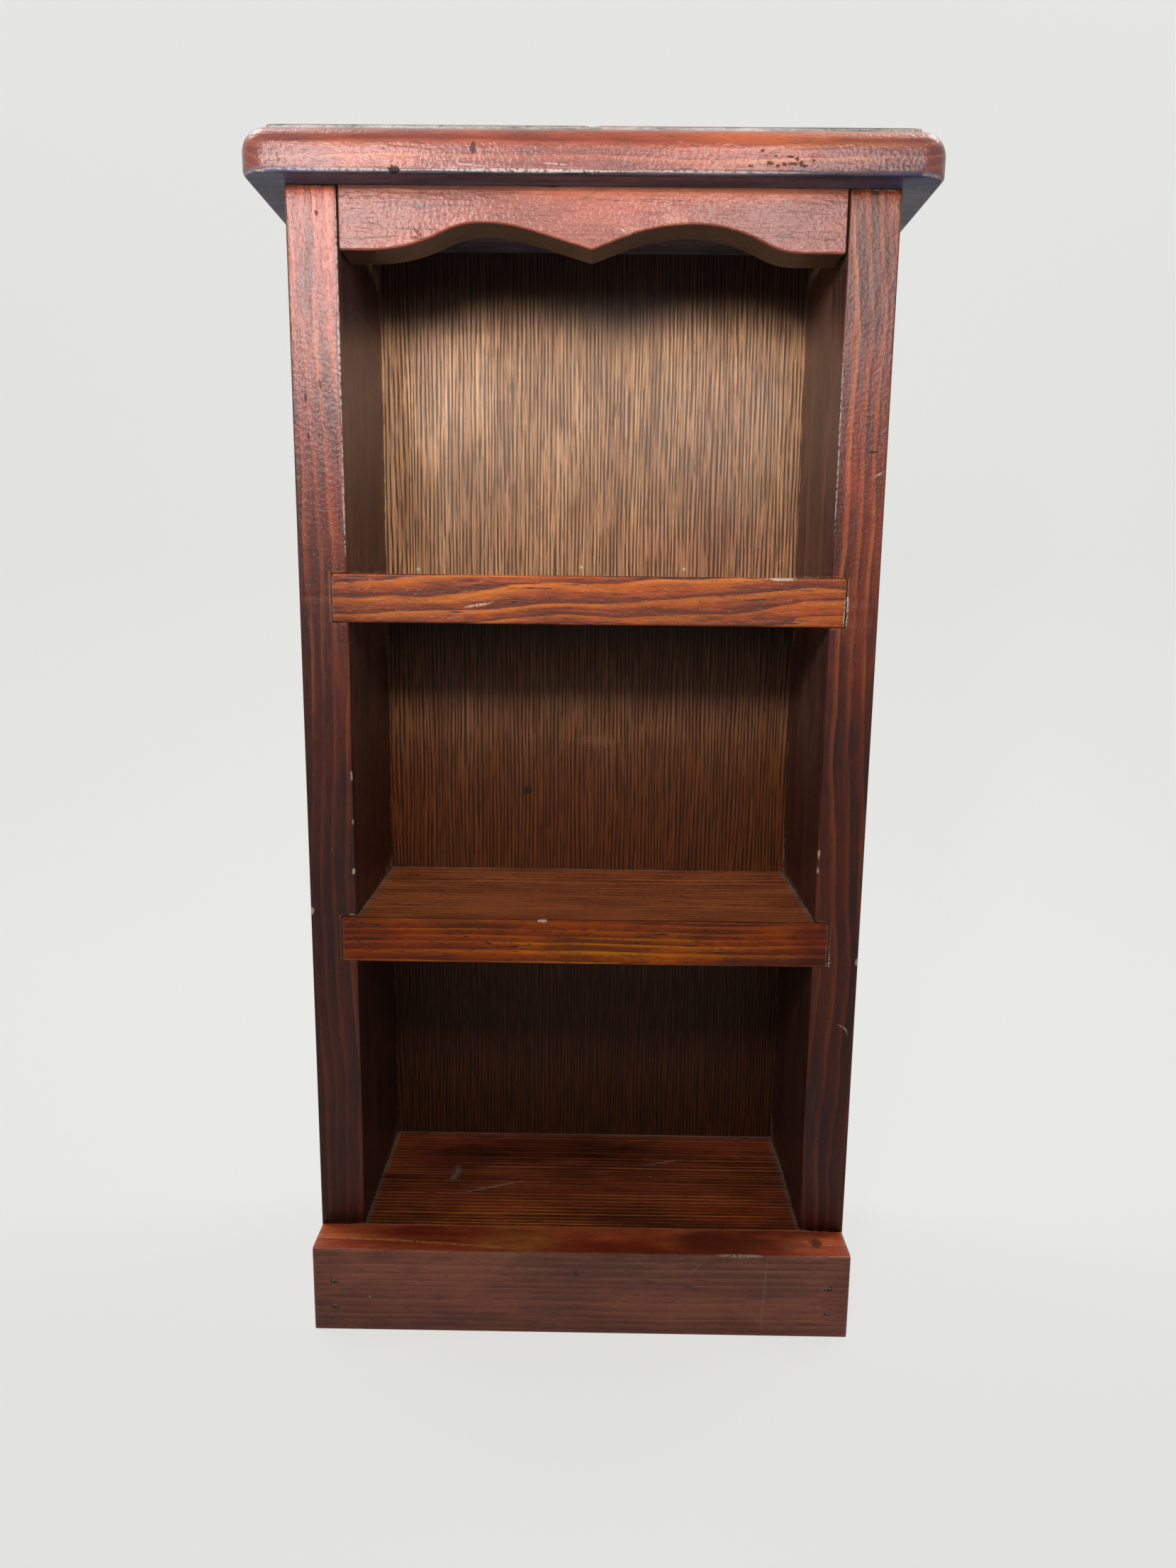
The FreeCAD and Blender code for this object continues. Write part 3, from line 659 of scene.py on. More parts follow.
def wear_down(mesh, node, rub, chip, finish):
    """A board's mesh with its arrises worn, as the piece that stands for its node."""
    name = node + "_worn"
    mesh = shape_by_nodes(mesh, WORN_BOARD, {
        "Rub": rub, "Chip": chip, "Chip Depth": CHIP_DEPTH, "Wander": ARRIS_WANDER,
        "Finish": finish,
    }, name)
    return new_piece(name, smooth_over(mesh, SMOOTH_BELOW), "stained_pine", node)


# Faces that bend less than this are one
FLAT_ANGLE = math.radians(0.2)
# Cuts along a board's grain, and in from its arrises, in millimetres
GRAIN_STEP = 1.2
ARRIS_STEPS = (0.5, 1.2, 2.4)
# Edges shorter than this are no arrises of a board, but of its nail slots
SHORTEST_ARRIS = 4.0


def board_mesh(node, along, shortest):
    """A copy of a CAD board, cut short along its grain and closely beside its arrises."""
    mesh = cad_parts[node].data.copy()
    shape = opened(mesh)
    bmesh.ops.remove_doubles(shape, verts=shape.verts, dist=MERGE_DISTANCE)
    bmesh.ops.dissolve_limit(
        shape, angle_limit=FLAT_ANGLE, verts=shape.verts, edges=shape.edges,
        use_dissolve_boundaries=False)
    arrises = points_on_arrises(shape, shortest)
    low, high = [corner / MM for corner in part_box(node)]
    axis = "XYZ".index(along)
    cuts = [(axis, steps_between(low[axis], high[axis], GRAIN_STEP))]
    for other in {0, 1, 2} - {axis}:
        cuts.append((other, steps_beside(low[other], high[other], ARRIS_STEPS)))
    cut_by_planes(shape, cuts)
    note_arris_distance(shape, arrises)
    return closed(shape, mesh)


# The top board's moulded edge, in millimetres
TOP_STEP = 2.0
ROUNDOVER = 8.8
FIELD_CORNER = 0.8
FIELD_EDGE = 0.5
LOWER_ROUND = 2.0
# Where its flat faces are cut in rings: in from its edge below, and in from the moulding above
UNDERSIDE_INSETS = (6.0, 3.5)
FIELD_INSETS = (1.4, 3.4)
STEP_FOOT = 0.6
OUTLINE_STEP = 1.5
EDGE_STEP = 1.4
# Where it is cut by planes: in from its back, along its length, and in from its two faces
TOP_CUTS_BACK = (*ARRIS_STEPS, 40.0)
TOP_CUTS_ALONG = 6.0
TOP_CUTS_UP = (0.6, 1.2, 2.4, 6.0)
BACK_ARRIS_SPACING = 0.5


def quarter(steps):
    """The sine and cosine at even steps through a quarter turn."""
    turns = [math.pi / 2 * step / steps for step in range(steps + 1)]
    return [(math.sin(turn), math.cos(turn)) for turn in turns]


def top_outline(inset, height, low, high):
    """The top board's outline a little way in from its edge, from its back left corner round the
    front to its back right corner. Its back edge stays where it is."""
    corner = ROUNDOVER + FIELD_CORNER
    radius = max(corner - inset, 0.0)
    middle_x, middle_y = high.x - max(corner, inset), low.y + max(corner, inset)
    side = [high.y] + steps_between(high.y, middle_y, OUTLINE_STEP)
    half = [(middle_x + radius, y) for y in side]
    half += [(middle_x + radius * across, middle_y - radius * up) for up, across in quarter(10)]
    half += [(x, middle_y - radius) for x in steps_between(middle_x, 0.0, OUTLINE_STEP)]
    points = half + [(0.0, middle_y - radius)] + [(-x, y) for x, y in reversed(half)]
    return [Vector((x, y, height)) * MM for x, y in points]


def top_profile(low, high):
    """The top board's edge from its underside up to its field: (inset, height) of each point."""
    shoulder = high - TOP_STEP
    lower, cove, edge = LOWER_ROUND, ROUNDOVER, FIELD_EDGE
    profile = [(inset, low) for inset in UNDERSIDE_INSETS]
    profile += [(lower - lower * sine, low + lower - lower * cosine) for sine, cosine in quarter(5)]
    profile += [(0.0, height) for height in steps_between(low + lower, shoulder - cove, EDGE_STEP)]
    profile += [
        (cove - cove * cosine, shoulder - cove + cove * sine) for sine, cosine in quarter(12)]
    profile.append((cove, shoulder + STEP_FOOT))
    profile += [
        (cove + edge - edge * cosine, high - edge + edge * sine) for sine, cosine in quarter(3)]
    return profile + [(cove + inset, high) for inset in FIELD_INSETS]


def moulded_top():
    """The top board: its edge profile carried round its front and ends, a raised field, and slots
    over its nails."""
    low, high = [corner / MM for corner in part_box("top_board")]
    shape = bmesh.new()
    rings = [
        [shape.verts.new(point) for point in top_outline(inset, height, low, high)]
        for inset, height in top_profile(low.z, high.z)
    ]
    for lower, upper in zip(rings, rings[1:]):
        for index in range(len(lower) - 1):
            shape.faces.new((lower[index], upper[index], upper[index + 1], lower[index + 1]))
    shape.faces.new(rings[0])
    shape.faces.new(rings[-1][::-1])
    shape.faces.new([ring[0] for ring in reversed(rings)] + [ring[-1] for ring in rings])
    bmesh.ops.remove_doubles(shape, verts=shape.verts, dist=MERGE_DISTANCE)
    bmesh.ops.recalc_face_normals(shape, faces=shape.faces)
    mesh = closed(shape, bpy.data.meshes.new("top_board_moulded"))
    mesh = without_nail_slots(mesh, "top_nails")
    shape = opened(mesh)
    cut_by_planes(shape, [
        (1, [high.y - step for step in TOP_CUTS_BACK]),
        (0, steps_between(low.x, high.x, TOP_CUTS_ALONG)),
        (2, steps_beside(low.z, high.z, TOP_CUTS_UP)),
    ])
    under, over = LOWER_ROUND / 4, FIELD_EDGE / 5
    arrises = top_outline(under, low.z + under, low, high)
    arrises += top_outline(ROUNDOVER + over, high.z - over, low, high)
    for x in steps_between(low.x, high.x, BACK_ARRIS_SPACING):
        arrises += [Vector((x, high.y, height)) * MM for height in (low.z, high.z)]
    note_arris_distance(shape, arrises)
    return closed(shape, mesh)


WORN_BOARD = make_worn_board()

# The nails' and brads' sizes in millimetres
NAIL = {"Wire Width": 1.6, "Head Width": 2.9, "Head Height": 1.3, "Thickness": 1.4}
BRAD = {"Wire Width": 1.25, "Head Width": 2.0, "Head Height": 1.0, "Thickness": 1.0}
POINT_LENGTH = 1.5
# How much narrower a nail's point is than its wire
POINT_TAPER = 0.85
# How much wider than its nail a slot is, and how far its cutter starts over the head and ends
# below it, in millimetres
SLOT_CLEARANCE = 0.2
CUTTER_OVER = 2.0
CUTTER_REACH = 29.6


def nails_of(node):
    """The place of each nail in a CAD node: the middle of its head's outer face, the way it
    points, the way its head is wide, and its lengths along the axes."""
    shape = opened(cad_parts[node].data)
    bmesh.ops.remove_doubles(shape, verts=shape.verts, dist=MERGE_DISTANCE)
    left, nails = set(shape.verts), []
    while left:
        nail, reached = set(), [left.pop()]
        while reached:
            vert = reached.pop()
            nail.add(vert)
            beside = {edge.other_vert(vert) for edge in vert.link_edges} & left
            left -= beside
            reached += beside
        low = Vector([min(vert.co[i] for vert in nail) for i in range(3)])
        high = Vector([max(vert.co[i] for vert in nail) for i in range(3)])
        size, middle = high - low, (low + high) / 2
        axis = max(range(3), key=lambda i: size[i])
        wide = max({0, 1, 2} - {axis}, key=lambda i: size[i])
        low_end = [vert.co[wide] for vert in nail if vert.co[axis] < low[axis] + MM]
        high_end = [vert.co[wide] for vert in nail if vert.co[axis] > high[axis] - MM]
        head_low = max(low_end) > max(high_end)
        heading, side, head = Vector(), Vector(), middle.copy()
        heading[axis] = 1.0 if head_low else -1.0
        side[wide] = 1.0
        head[axis] = low[axis] if head_low else high[axis]
        nails.append((head, heading, side, size))
    shape.free()
    return sorted(nails, key=lambda nail: tuple(nail[0]))


def without_nail_slots(mesh, node):
    """A board's mesh with the slots cut that its nails were driven through."""
    shape = bmesh.new()
    parts = ((NAIL["Head Height"], NAIL["Head Width"]), (CUTTER_REACH, NAIL["Wire Width"]))
    for head, heading, side, _ in nails_of(node):
        for reach, width in parts:
            start, end = head - heading * CUTTER_OVER * MM, head + heading * reach * MM
            cube = bmesh.ops.create_cube(shape, size=1.0)["verts"]
            box = Vector([
                abs(heading[i]) * (end - start).length
                + abs(side[i]) * (width + SLOT_CLEARANCE) * MM
                + (1 - abs(heading[i]) - abs(side[i])) * (NAIL["Thickness"] + SLOT_CLEARANCE) * MM
                for i in range(3)
            ])
            for vert in cube:
                vert.co = (start + end) / 2 + Vector([vert.co[i] * box[i] for i in range(3)])
    cutter = new_object("slot_cutter", closed(shape, bpy.data.meshes.new("slot_cutter")))
    carrier = new_object(mesh.name + "_before", mesh)
    cut = carrier.modifiers.new("slots", "BOOLEAN")
    cut.operation, cut.solver, cut.use_self, cut.object = "DIFFERENCE", "EXACT", True, cutter
    result = plain_mesh(carrier, mesh.name)
    bpy.data.objects.remove(cutter)
    return result


def make_nail_rows():
    """Geometry nodes that put a flat nail with a T-shaped head and a chisel point on each point of
    a mesh, which keeps the way it points and the way its head is wide. Sizes are in metres."""
    sizes = ("Length", "Wire Width", "Head Width", "Head Height", "Thickness", "Point Length")
    r, given, give = new_group("nail_rows", [
        ("Geometry", "Geometry"), *[(label, "Float") for label in sizes], ("Finish", "Material"),
    ], ["Geometry"], "Geometry")
    length, wire, head_width, head_height, thickness, point = [given[label] for label in sizes]

    def block(width, tall, base, levels):
        made = r.first("GeometryNodeMeshCube", [
            ("Size", r.unite(width, thickness, tall)), ("Vertices Z", levels),
        ])
        raised = r.unite(0, 0, r.times_plus(tall, 0.5, base))
        return r.first("GeometryNodeTransform", [("Geometry", made), ("Translation", raised)])

    def kept(label):
        return r.first(
            "GeometryNodeInputNamedAttribute", [("Name", label)], data_type="FLOAT_VECTOR")

    head = block(head_width, head_height, 0.0, 2)
    shaft = block(wire, r.minus(length, head_height), head_height, 3)
    x, y, z = r.split(r.first("GeometryNodeInputPosition"))
    tip = r.sum("GREATER_THAN", z, r.times(length, 0.99))
    waist = r.times(r.sum("GREATER_THAN", z, r.times(length, 0.3)), r.minus(1, tip))
    new_z = r.times_plus(waist, r.minus(r.minus(length, point), z), z)
    new_x = r.times(x, r.times_plus(tip, -POINT_TAPER, 1))
    pointed = r.first(
        "GeometryNodeSetPosition", [("Geometry", shaft), ("Position", r.unite(new_x, y, new_z))])
    nail = r.node("GeometryNodeJoinGeometry")
    for part in (head, pointed):
        r.feed(nail.inputs[0], part)
    turn = r.first(
        "FunctionNodeAxesToRotation", [(0, kept("heading")), (1, kept("side"))],
        primary_axis="Z", secondary_axis="X")
    placed = r.first("GeometryNodeInstanceOnPoints", [
        ("Points", given["Geometry"]), ("Instance", nail.outputs[0]), ("Rotation", turn),
    ])
    return finish_shape(r, give, given, placed)


def drive_nails(steel):
    """The nails and brads, each group on the points that its CAD node gives."""
    tree = make_nail_rows()
    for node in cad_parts:
        if not node.endswith(("_nails", "_brads")):
            continue
        nails = nails_of(node)
        points = bpy.data.meshes.new(node + "_points")
        points.from_pydata([nail[0] for nail in nails], [], [])
        for label, place in (("heading", 1), ("side", 2)):
            layer = points.attributes.new(label, "FLOAT_VECTOR", "POINT")
            for index, nail in enumerate(nails):
                layer.data[index].vector = nail[place]
        sizes = BRAD if node.endswith("_brads") else NAIL
        mesh = shape_by_nodes(points, tree, {
            "Length": max(nails[0][3]), "Point Length": POINT_LENGTH * MM, "Finish": steel,
            **{label: size * MM for label, size in sizes.items()},
        }, node + "_driven")
        new_piece(node + "_driven", mesh, "nail_steel", node)


# Palettes: the colours of the dark wood, the plain wood and the bright ring lines
STILE_RED = ((0.085, 0.018, 0.011), (0.25, 0.048, 0.022), (0.48, 0.13, 0.035))
# Painted shade: the stile fronts grow darker towards the bottom
STILE_LOW_SHADED = ((0.028, 0.006, 0.004), (0.088, 0.014, 0.006), (0.20, 0.042, 0.012))
SIDE_RED = ((0.085, 0.020, 0.012), (0.23, 0.050, 0.024), (0.36, 0.090, 0.035))
INSIDE_BROWN = ((0.070, 0.032, 0.022), (0.20, 0.092, 0.066), (0.25, 0.115, 0.075))
# Painted shade: the inner faces grow darker towards the bottom
INSIDE_LOW_SHADED = ((0.030, 0.012, 0.010), (0.075, 0.028, 0.019), (0.09, 0.035, 0.022))
# Painted shade: the apron's underside and the faces behind its front, near black
APRON_UNDER_SHADED = ((0.0105, 0.0063, 0.0056), (0.0262, 0.0154, 0.0133), (0.035, 0.0192, 0.0158))
TOP_RED = ((0.20, 0.036, 0.020), (0.40, 0.085, 0.040), (0.60, 0.18, 0.06))
# The roundover: orange-red wood, painted brighter as a highlight
TOP_ROUNDOVER_AND_HIGHLIGHT = ((0.20, 0.030, 0.012), (0.46, 0.090, 0.028), (0.68, 0.20, 0.055))
# The lower front arris: worn pale, with a painted bluish reflection
TOP_ARRIS_WEAR_AND_REFLECTION = ((0.10, 0.07, 0.07), (0.30, 0.22, 0.22), (0.52, 0.46, 0.45))
# The underside: grey-brown wood, with a bluish tint that is a painted reflection
TOP_UNDER_GREY_AND_REFLECTION = ((0.06, 0.055, 0.075), (0.16, 0.15, 0.19), (0.22, 0.20, 0.24))
TOP_STEP_GREY = ((0.12, 0.10, 0.085), (0.42, 0.39, 0.34), (0.5, 0.46, 0.40))
TOP_FIELD = ((0.15, 0.036, 0.024), (0.32, 0.10, 0.065), (0.45, 0.19, 0.12))
APRON_SALMON = ((0.20, 0.046, 0.028), (0.36, 0.090, 0.055), (0.44, 0.13, 0.08))
UPPER_ORANGE = ((0.12, 0.020, 0.005), (0.40, 0.070, 0.010), (0.78, 0.21, 0.020))
LOWER_ORANGE = ((0.10, 0.014, 0.001), (0.32, 0.045, 0.001), (0.60, 0.14, 0.003))
SHELF_TOP = ((0.24, 0.060, 0.020), (0.46, 0.125, 0.040), (0.70, 0.25, 0.085))
BOTTOM_RED = ((0.085, 0.015, 0.006), (0.34, 0.058, 0.022), (0.95, 0.34, 0.10))
PLINTH_BROWN = ((0.21, 0.060, 0.034), (0.49, 0.142, 0.078), (0.62, 0.22, 0.13))
# The plinth's top: orange-red wood painted much lighter, as painted light on a face turned up
PLINTH_TOP_AND_PAINTED_LIGHT = ((0.48, 0.075, 0.028), (0.92, 0.20, 0.06), (0.98, 0.38, 0.10))
SEAM_DARK = ((0.012, 0.006, 0.005), (0.020, 0.009, 0.007), (0.03, 0.012, 0.01))
DUST = ((0.14, 0.10, 0.08), (0.34, 0.27, 0.21), (0.42, 0.34, 0.27))

# Marks
# Pale arris lines: worn wood with a painted highlight along the arris
PALE_ARRIS_AND_HIGHLIGHT = (0.78, 0.66, 0.62)
PALE_WOOD = (0.62, 0.45, 0.33)
DUST_GREY = (0.40, 0.35, 0.31)
BLACK_MARK = (0.012, 0.006, 0.005)
PIT_BROWN = (0.045, 0.012, 0.010)

# Small pits low on the top board's front: place across, height, width and height of each
TOP_PITS = (
    (63.2, 464.2, 1.3, 0.7), (66.0, 463.4, 0.8, 0.5), (65.2, 466.6, 0.5, 0.4),
    (70.6, 466.4, 1.5, 0.45), (72.9, 465.6, 0.7, 0.8), (71.4, 464.1, 1.8, 0.5),
    (74.3, 464.4, 0.9, 0.8), (75.5, 463.3, 1.2, 0.5), (68.4, 463.9, 0.9, 0.6),
    (78.8, 465.2, 0.6, 0.5), (60.4, 468.3, 0.8, 0.5), (56.5, 463.2, 1.0, 0.4),
)


def side_board(side, **own):
    """What both sides share, and what one has of its own; side is -1 for left and 1 for right."""
    inner, stile = ("X", side * 97.2, side * 95.8), ("Y", -33.2, -34.5)
    return dict(
        along="Z", palette=SIDE_RED, rub=0.8, chip=0.56, line=0.85, shade=0.25, coat_roughness=0.33,
        zones=[
            # The low inside zone is painted shade, darker towards the bottom
            (INSIDE_BROWN, *inner), (INSIDE_LOW_SHADED, "Z", 330, 200, *inner), (STILE_RED, *stile),
            # The low stile zone is painted shade, darker towards the bottom
            (STILE_LOW_SHADED, "Z", 350, 235, *stile),
        ], **own,
    )


SHELF_DUST = [(DUST, "X", -92.5, -96.5), (DUST, "X", 92.5, 96.5), (DUST, "Y", 44, 49)]
SHELF_SEAMS = [(SEAM_DARK, "X", -100.4, -101), (SEAM_DARK, "X", 100.4, 101)]
# The front arris of the shelves, where their top's stain gives way to their front's
SHELF_FRONT = ("Y", -33.4, -35)

# Each pine board's grain, stain, wear and marks, some of them painted light and shade, as
# stained_pine takes them; places in millimetres
BOARDS = {}
BOARDS["left_side"] = side_board(
    -1, pith=(-8, -60), ring_width=4.4, seed=1, wander=5, wobble=0.14, coat=0.9, mottle=1.5,
    relief=0.9, polish=(0.25, "Z", 300, 420),
    marks=[
        wash((0.45, 0.4, 0.6), 0.8, (-114, -34.9, 250), (5, 20, 260)),
        # Painted highlight: the stile front made lighter near its top
        wash((1.9, 1.7, 1.9), 0.8, (-104, -34.9, 435), (16, 8, 55)),
        wash((0.95, 0.66, 0.6), 0.9, (-105, -34.9, 362), (16, 3, 48)),
        # Painted shade: the left side's inner face made darker and bluish
        wash((0.48, 0.55, 0.9), 1, (-95.2, 10, 390), (4, 60, 100)),
        *[
            scratch(PALE_ARRIS_AND_HIGHLIGHT, share, (-95.4, -34.8, high), (-95.4, -34.8, low), width)
            for share, high, low, width in (
                (0.6, 458, 418, 0.8), (0.7, 428, 374, 1), (0.55, 380, 322, 0.7))
        ],
        scratch(BLACK_MARK, 0.6, (-103.4, -34.9, 392), (-103, -34.9, 388), 0.5),
        scratch(BLACK_MARK, 0.6, (-108.6, -34.9, 372), (-108.2, -34.9, 369), 0.6),
        wash((0.25, 0.28, 0.34), 0.95, (-104, -34.9, 38), (16, 6, 9)),
        dab(PALE_WOOD, 0.9, (-113.8, -34.7, 180.9), (1.2, 1.4, 1.8)),
        dab(PALE_WOOD, 0.6, (-95.6, -34.8, 238), (0.5, 1, 2.2), 0.5),
        dab(PALE_WOOD, 0.6, (-95.6, -34.8, 219), (0.4, 1, 1.4), 0.5),
        dab(PALE_WOOD, 0.85, (-95.8, -34.8, 198), (0.8, 1, 1.4), 0.5),
        dab(BLACK_MARK, 0.8, (-102.6, -34.9, 450.6), (0.7, 1, 1), 0.4),
        dab(BLACK_MARK, 0.7, (-109, -34.9, 385), (0.6, 1, 1.6), 0.4),
    ],
)
BOARDS["right_side"] = side_board(
    1, pith=(8, 61), ring_width=4, seed=2, wander=6, wobble=0.16, lean=(0, 0.02),
    coat=0.6, mottle=1.4, polish=(0.3, "Z", 300, 420),
    marks=[
        wash((0.45, 0.4, 0.6), 0.7, (95, -34.9, 350), (4, 20, 120)),
        wash((0.95, 0.72, 0.62), 0.9, (105, -34.9, 362), (16, 3, 48)),
        scratch(PALE_ARRIS_AND_HIGHLIGHT, 0.45, (95.4, -34.8, 410), (95.4, -34.8, 330), 0.6),
        dab(PALE_WOOD, 0.7, (95.6, -34.8, 208), (0.6, 1, 1.8), 0.5),
        dab(PALE_WOOD, 0.7, (95.6, -34.8, 201), (0.5, 1, 1.5), 0.5),
        wash((0.35, 0.38, 0.42), 0.9, (104, -34.9, 38), (16, 6, 6)),
        dab(BLACK_MARK, 0.8, (108.6, -34.9, 366.9), (2, 1, 0.5)),
        scratch(PALE_WOOD, 0.8, (108.7, -34.9, 357), (113.3, -34.9, 359.8), 0.45),
        scratch(PALE_WOOD, 0.8, (106.7, -34.9, 134), (111.5, -34.9, 128.8), 0.4, (1, 0, 1)),
        dab(PALE_WOOD, 0.9, (114, -34.7, 161.6), (1, 1.2, 1.6)),
    ],
)
BOARDS["top_board"] = dict(
    along="X", pith=(10, 395), ring_width=3.6, palette=TOP_RED, seed=3, rub=0.75, chip=0.62,
    line=0.6, wander=3, shade=0.25, mottle=1.3, coat=0.75, coat_roughness=0.29,
    polish=(0, "Z", 460.7, 461.3),
    zones=[
        # The lower arris zone is worn pale wood with a painted reflection
        # The roundover zone is orange-red wood painted brighter as a highlight
        # The underside zone's bluish tint is a painted reflection
        (TOP_ROUNDOVER_AND_HIGHLIGHT, "Z", 470, 474), (TOP_ARRIS_WEAR_AND_REFLECTION, "Z", 462.4, 461.2), (TOP_UNDER_GREY_AND_REFLECTION, "Z", 461, 460.5),
        (TOP_STEP_GREY, "Z", 477.5, 477.8), (TOP_FIELD, "Z", 479, 479.35),
    ],
    marks=[
        # Painted sheen: a bluish tint at the left of the front
        wash((0.7, 0.9, 1.6), 0.8, (-112, -45, 466), (34, 16, 9)),
        wash((0.6, 0.75, 1.5), 0.7, (116, -45, 464), (22, 16, 9)),
        # Painted shade: the lower arris's painted reflection made darker on the right
        wash((0.35, 0.32, 0.42), 0.9, (100, -47, 461), (50, 8, 3.5)),
        wash((0.75, 0.55, 0.5), 0.7, (30, -47, 475), (110, 9, 2.6)),
        wash((0.66, 0.5, 0.46), 0.85, (8, -47, 467), (64, 9, 9)),
        scratch(PALE_ARRIS_AND_HIGHLIGHT, 0.65, (-122, -47.3, 461.4), (-60, -47.3, 461.2), 0.7),
        scratch(PALE_ARRIS_AND_HIGHLIGHT, 0.7, (-64, -47.3, 461.4), (18, -47.3, 461.2), 0.75),
        scratch(PALE_ARRIS_AND_HIGHLIGHT, 0.5, (10, -47.3, 461.6), (80, -47.3, 461.2), 0.5),
        scratch(PALE_ARRIS_AND_HIGHLIGHT, 0.5, (-50, -47.6, 463.4), (-36, -47.6, 462.4), 0.4),
        scratch(PALE_ARRIS_AND_HIGHLIGHT, 0.5, (-18, -47.6, 463.8), (-9, -47.6, 463.2), 0.4),
        # Painted highlight on the right of the roundover
        wash((1.3, 1.5, 0.9), 0.8, (80, -45, 474), (60, 9, 5)),
        dab(BLACK_MARK, 0.75, (-42.8, -47.6, 468.7), (1, 1, 2.2), 0.35),
        dab(BLACK_MARK, 0.9, (-71.3, -47.2, 461.3), (2.2, 1.8, 1.3), 0.35),
        scratch(PALE_WOOD, 0.6, (104.2, -47.4, 469.6), (120.7, -46, 467), 0.5, (0, 0, 0.5)),
        scratch(BLACK_MARK, 0.6, (-78, -47.6, 470.8), (-78.6, -47.6, 474), 0.5),
        scratch(BLACK_MARK, 0.5, (-117.5, -46.6, 467.4), (-120.5, -45, 471), 0.4),
        *[
            dab(PIT_BROWN, 0.9, (x, -47.6, z), (wide, 1.2, tall), 0.5)
            for x, z, wide, tall in TOP_PITS
        ],
    ],
)
BOARDS["scalloped_apron"] = dict(
    along="X", pith=(-60, 300), ring_width=1.7, palette=APRON_SALMON, seed=4, rub=0.75, chip=0.25,
    line=0.3, shade=0.1, wander=1, mottle=1, streaks=0.6, coat=0.6, coat_roughness=0.26,
    zones=[
        # Behind its front the apron is painted near black, as painted shade
        (PLINTH_BROWN, "Z", 454, 459.5), (APRON_UNDER_SHADED, "Y", -34.5, -33.4),
        (SEAM_DARK, "X", -94, -94.6), (SEAM_DARK, "X", 94, 94.6),
    ],
    marks=[
        scratch(BLACK_MARK, 0.8, (-66.6, -34.9, 445.5), (-62.2, -34.9, 441.8), 0.7),
        scratch(BLACK_MARK, 0.7, (-67.8, -34.9, 442.6), (-62.6, -34.9, 441.6), 0.5),
        scratch(PALE_WOOD, 0.8, (10.4, -34.9, 446.1), (12.5, -34.9, 444.6), 0.45),
    ],
)
BOARDS["upper_shelf"] = dict(
    along="X", pith=(-20, 120), ring_width=6.4, palette=SHELF_TOP, seed=5, rub=0.7, chip=0.5,
    lean=(0, -0.06), wander=11, line=0.85, shade=0.8, streaks=1, wobble=0.3, mottle=1.7,
    zones=[*SHELF_DUST, (UPPER_ORANGE, *SHELF_FRONT), *SHELF_SEAMS],
    marks=[
        wash((0.5, 0.35, 0.3), 0.6, (-98, -35.9, 309), (12, 5, 20)),
        dab(PALE_WOOD, 0.9, (75.5, -35.9, 318.8), (5.5, 1.2, 1), 0.5),
        scratch(PALE_WOOD, 0.8, (-48.9, -35.9, 306.4), (-37.7, -35.9, 308.4), 0.6),
        scratch(BLACK_MARK, 0.7, (-48.9, -35.9, 300.4), (-45.3, -35.9, 303.4), 0.5),
    ],
)
BOARDS["lower_shelf"] = dict(
    along="X", pith=(110, 20), ring_width=2.4, palette=SHELF_TOP, seed=6, rub=0.7, chip=0.42,
    line=0.7, streaks=1, pores=0.8, mottle=1.4, coat=0.1,
    zones=[*SHELF_DUST, (LOWER_ORANGE, *SHELF_FRONT), *SHELF_SEAMS],
    marks=[
        wash((0.45, 0.3, 0.3), 0.8, (100, -35.9, 169), (16, 5, 20)),
        wash((0.6, 0.45, 0.4), 0.6, (-92, -35.9, 169), (20, 5, 20)),
        wash((1.6, 2.2, 1.2), 0.8, (18, -35.9, 166), (60, 3, 10)),
        dab(PALE_WOOD, 0.9, (-17.7, -35.7, 178.3), (2, 1, 0.8), 0.4),
        scratch(DUST_GREY, 0.7, (-78.8, -15.4, 178.6), (-72.6, -11.9, 178.6), 0.5),
    ],
)
BOARDS["bottom_shelf"] = dict(
    along="X", pith=(190, -30), ring_width=2.5, palette=BOTTOM_RED, seed=7, rub=0.3, chip=0.1,
    line=0.8, mottle=2.2, wander=0.9, wobble=0.05, shade=0.2, streaks=0.8, coat=0.2,
    zones=SHELF_DUST,
    marks=[
        wash((0.35, 0.3, 0.35), 0.85, (-20, 30, 38.1), (70, 16, 9)),
        wash((1.8, 1.8, 1.2), 0.8, (-30, -28, 38.1), (44, 16, 9)),
        wash((1.5, 1.35, 1.1), 0.8, (60, -22, 38.1), (40, 16, 9)),
        wash((0.5, 0.5, 0.6), 0.8, (-62, 22, 38.1), (26, 18, 9)),
        dab(DUST_GREY, 0.45, (-60.3, 9.5, 38.1), (1.6, 5, 2), 0.9),
        dab(DUST_GREY, 0.5, (-61.5, 4, 38.1), (1.4, 2.4, 2), 0.9),
        dab(DUST_GREY, 0.6, (32, 7.2, 38.1), (0.7, 0.7, 2)),
        dab(DUST_GREY, 0.6, (-17, 1.2, 38.1), (0.7, 0.7, 2)),
        scratch(DUST_GREY, 0.9, (-56.4, -9.2, 38.1), (-27.7, 2.5, 38.1), 0.9),
        scratch(DUST_GREY, 0.9, (28.2, 16.9, 38.1), (49.4, 24.2, 38.1), 0.8),
    ],
)
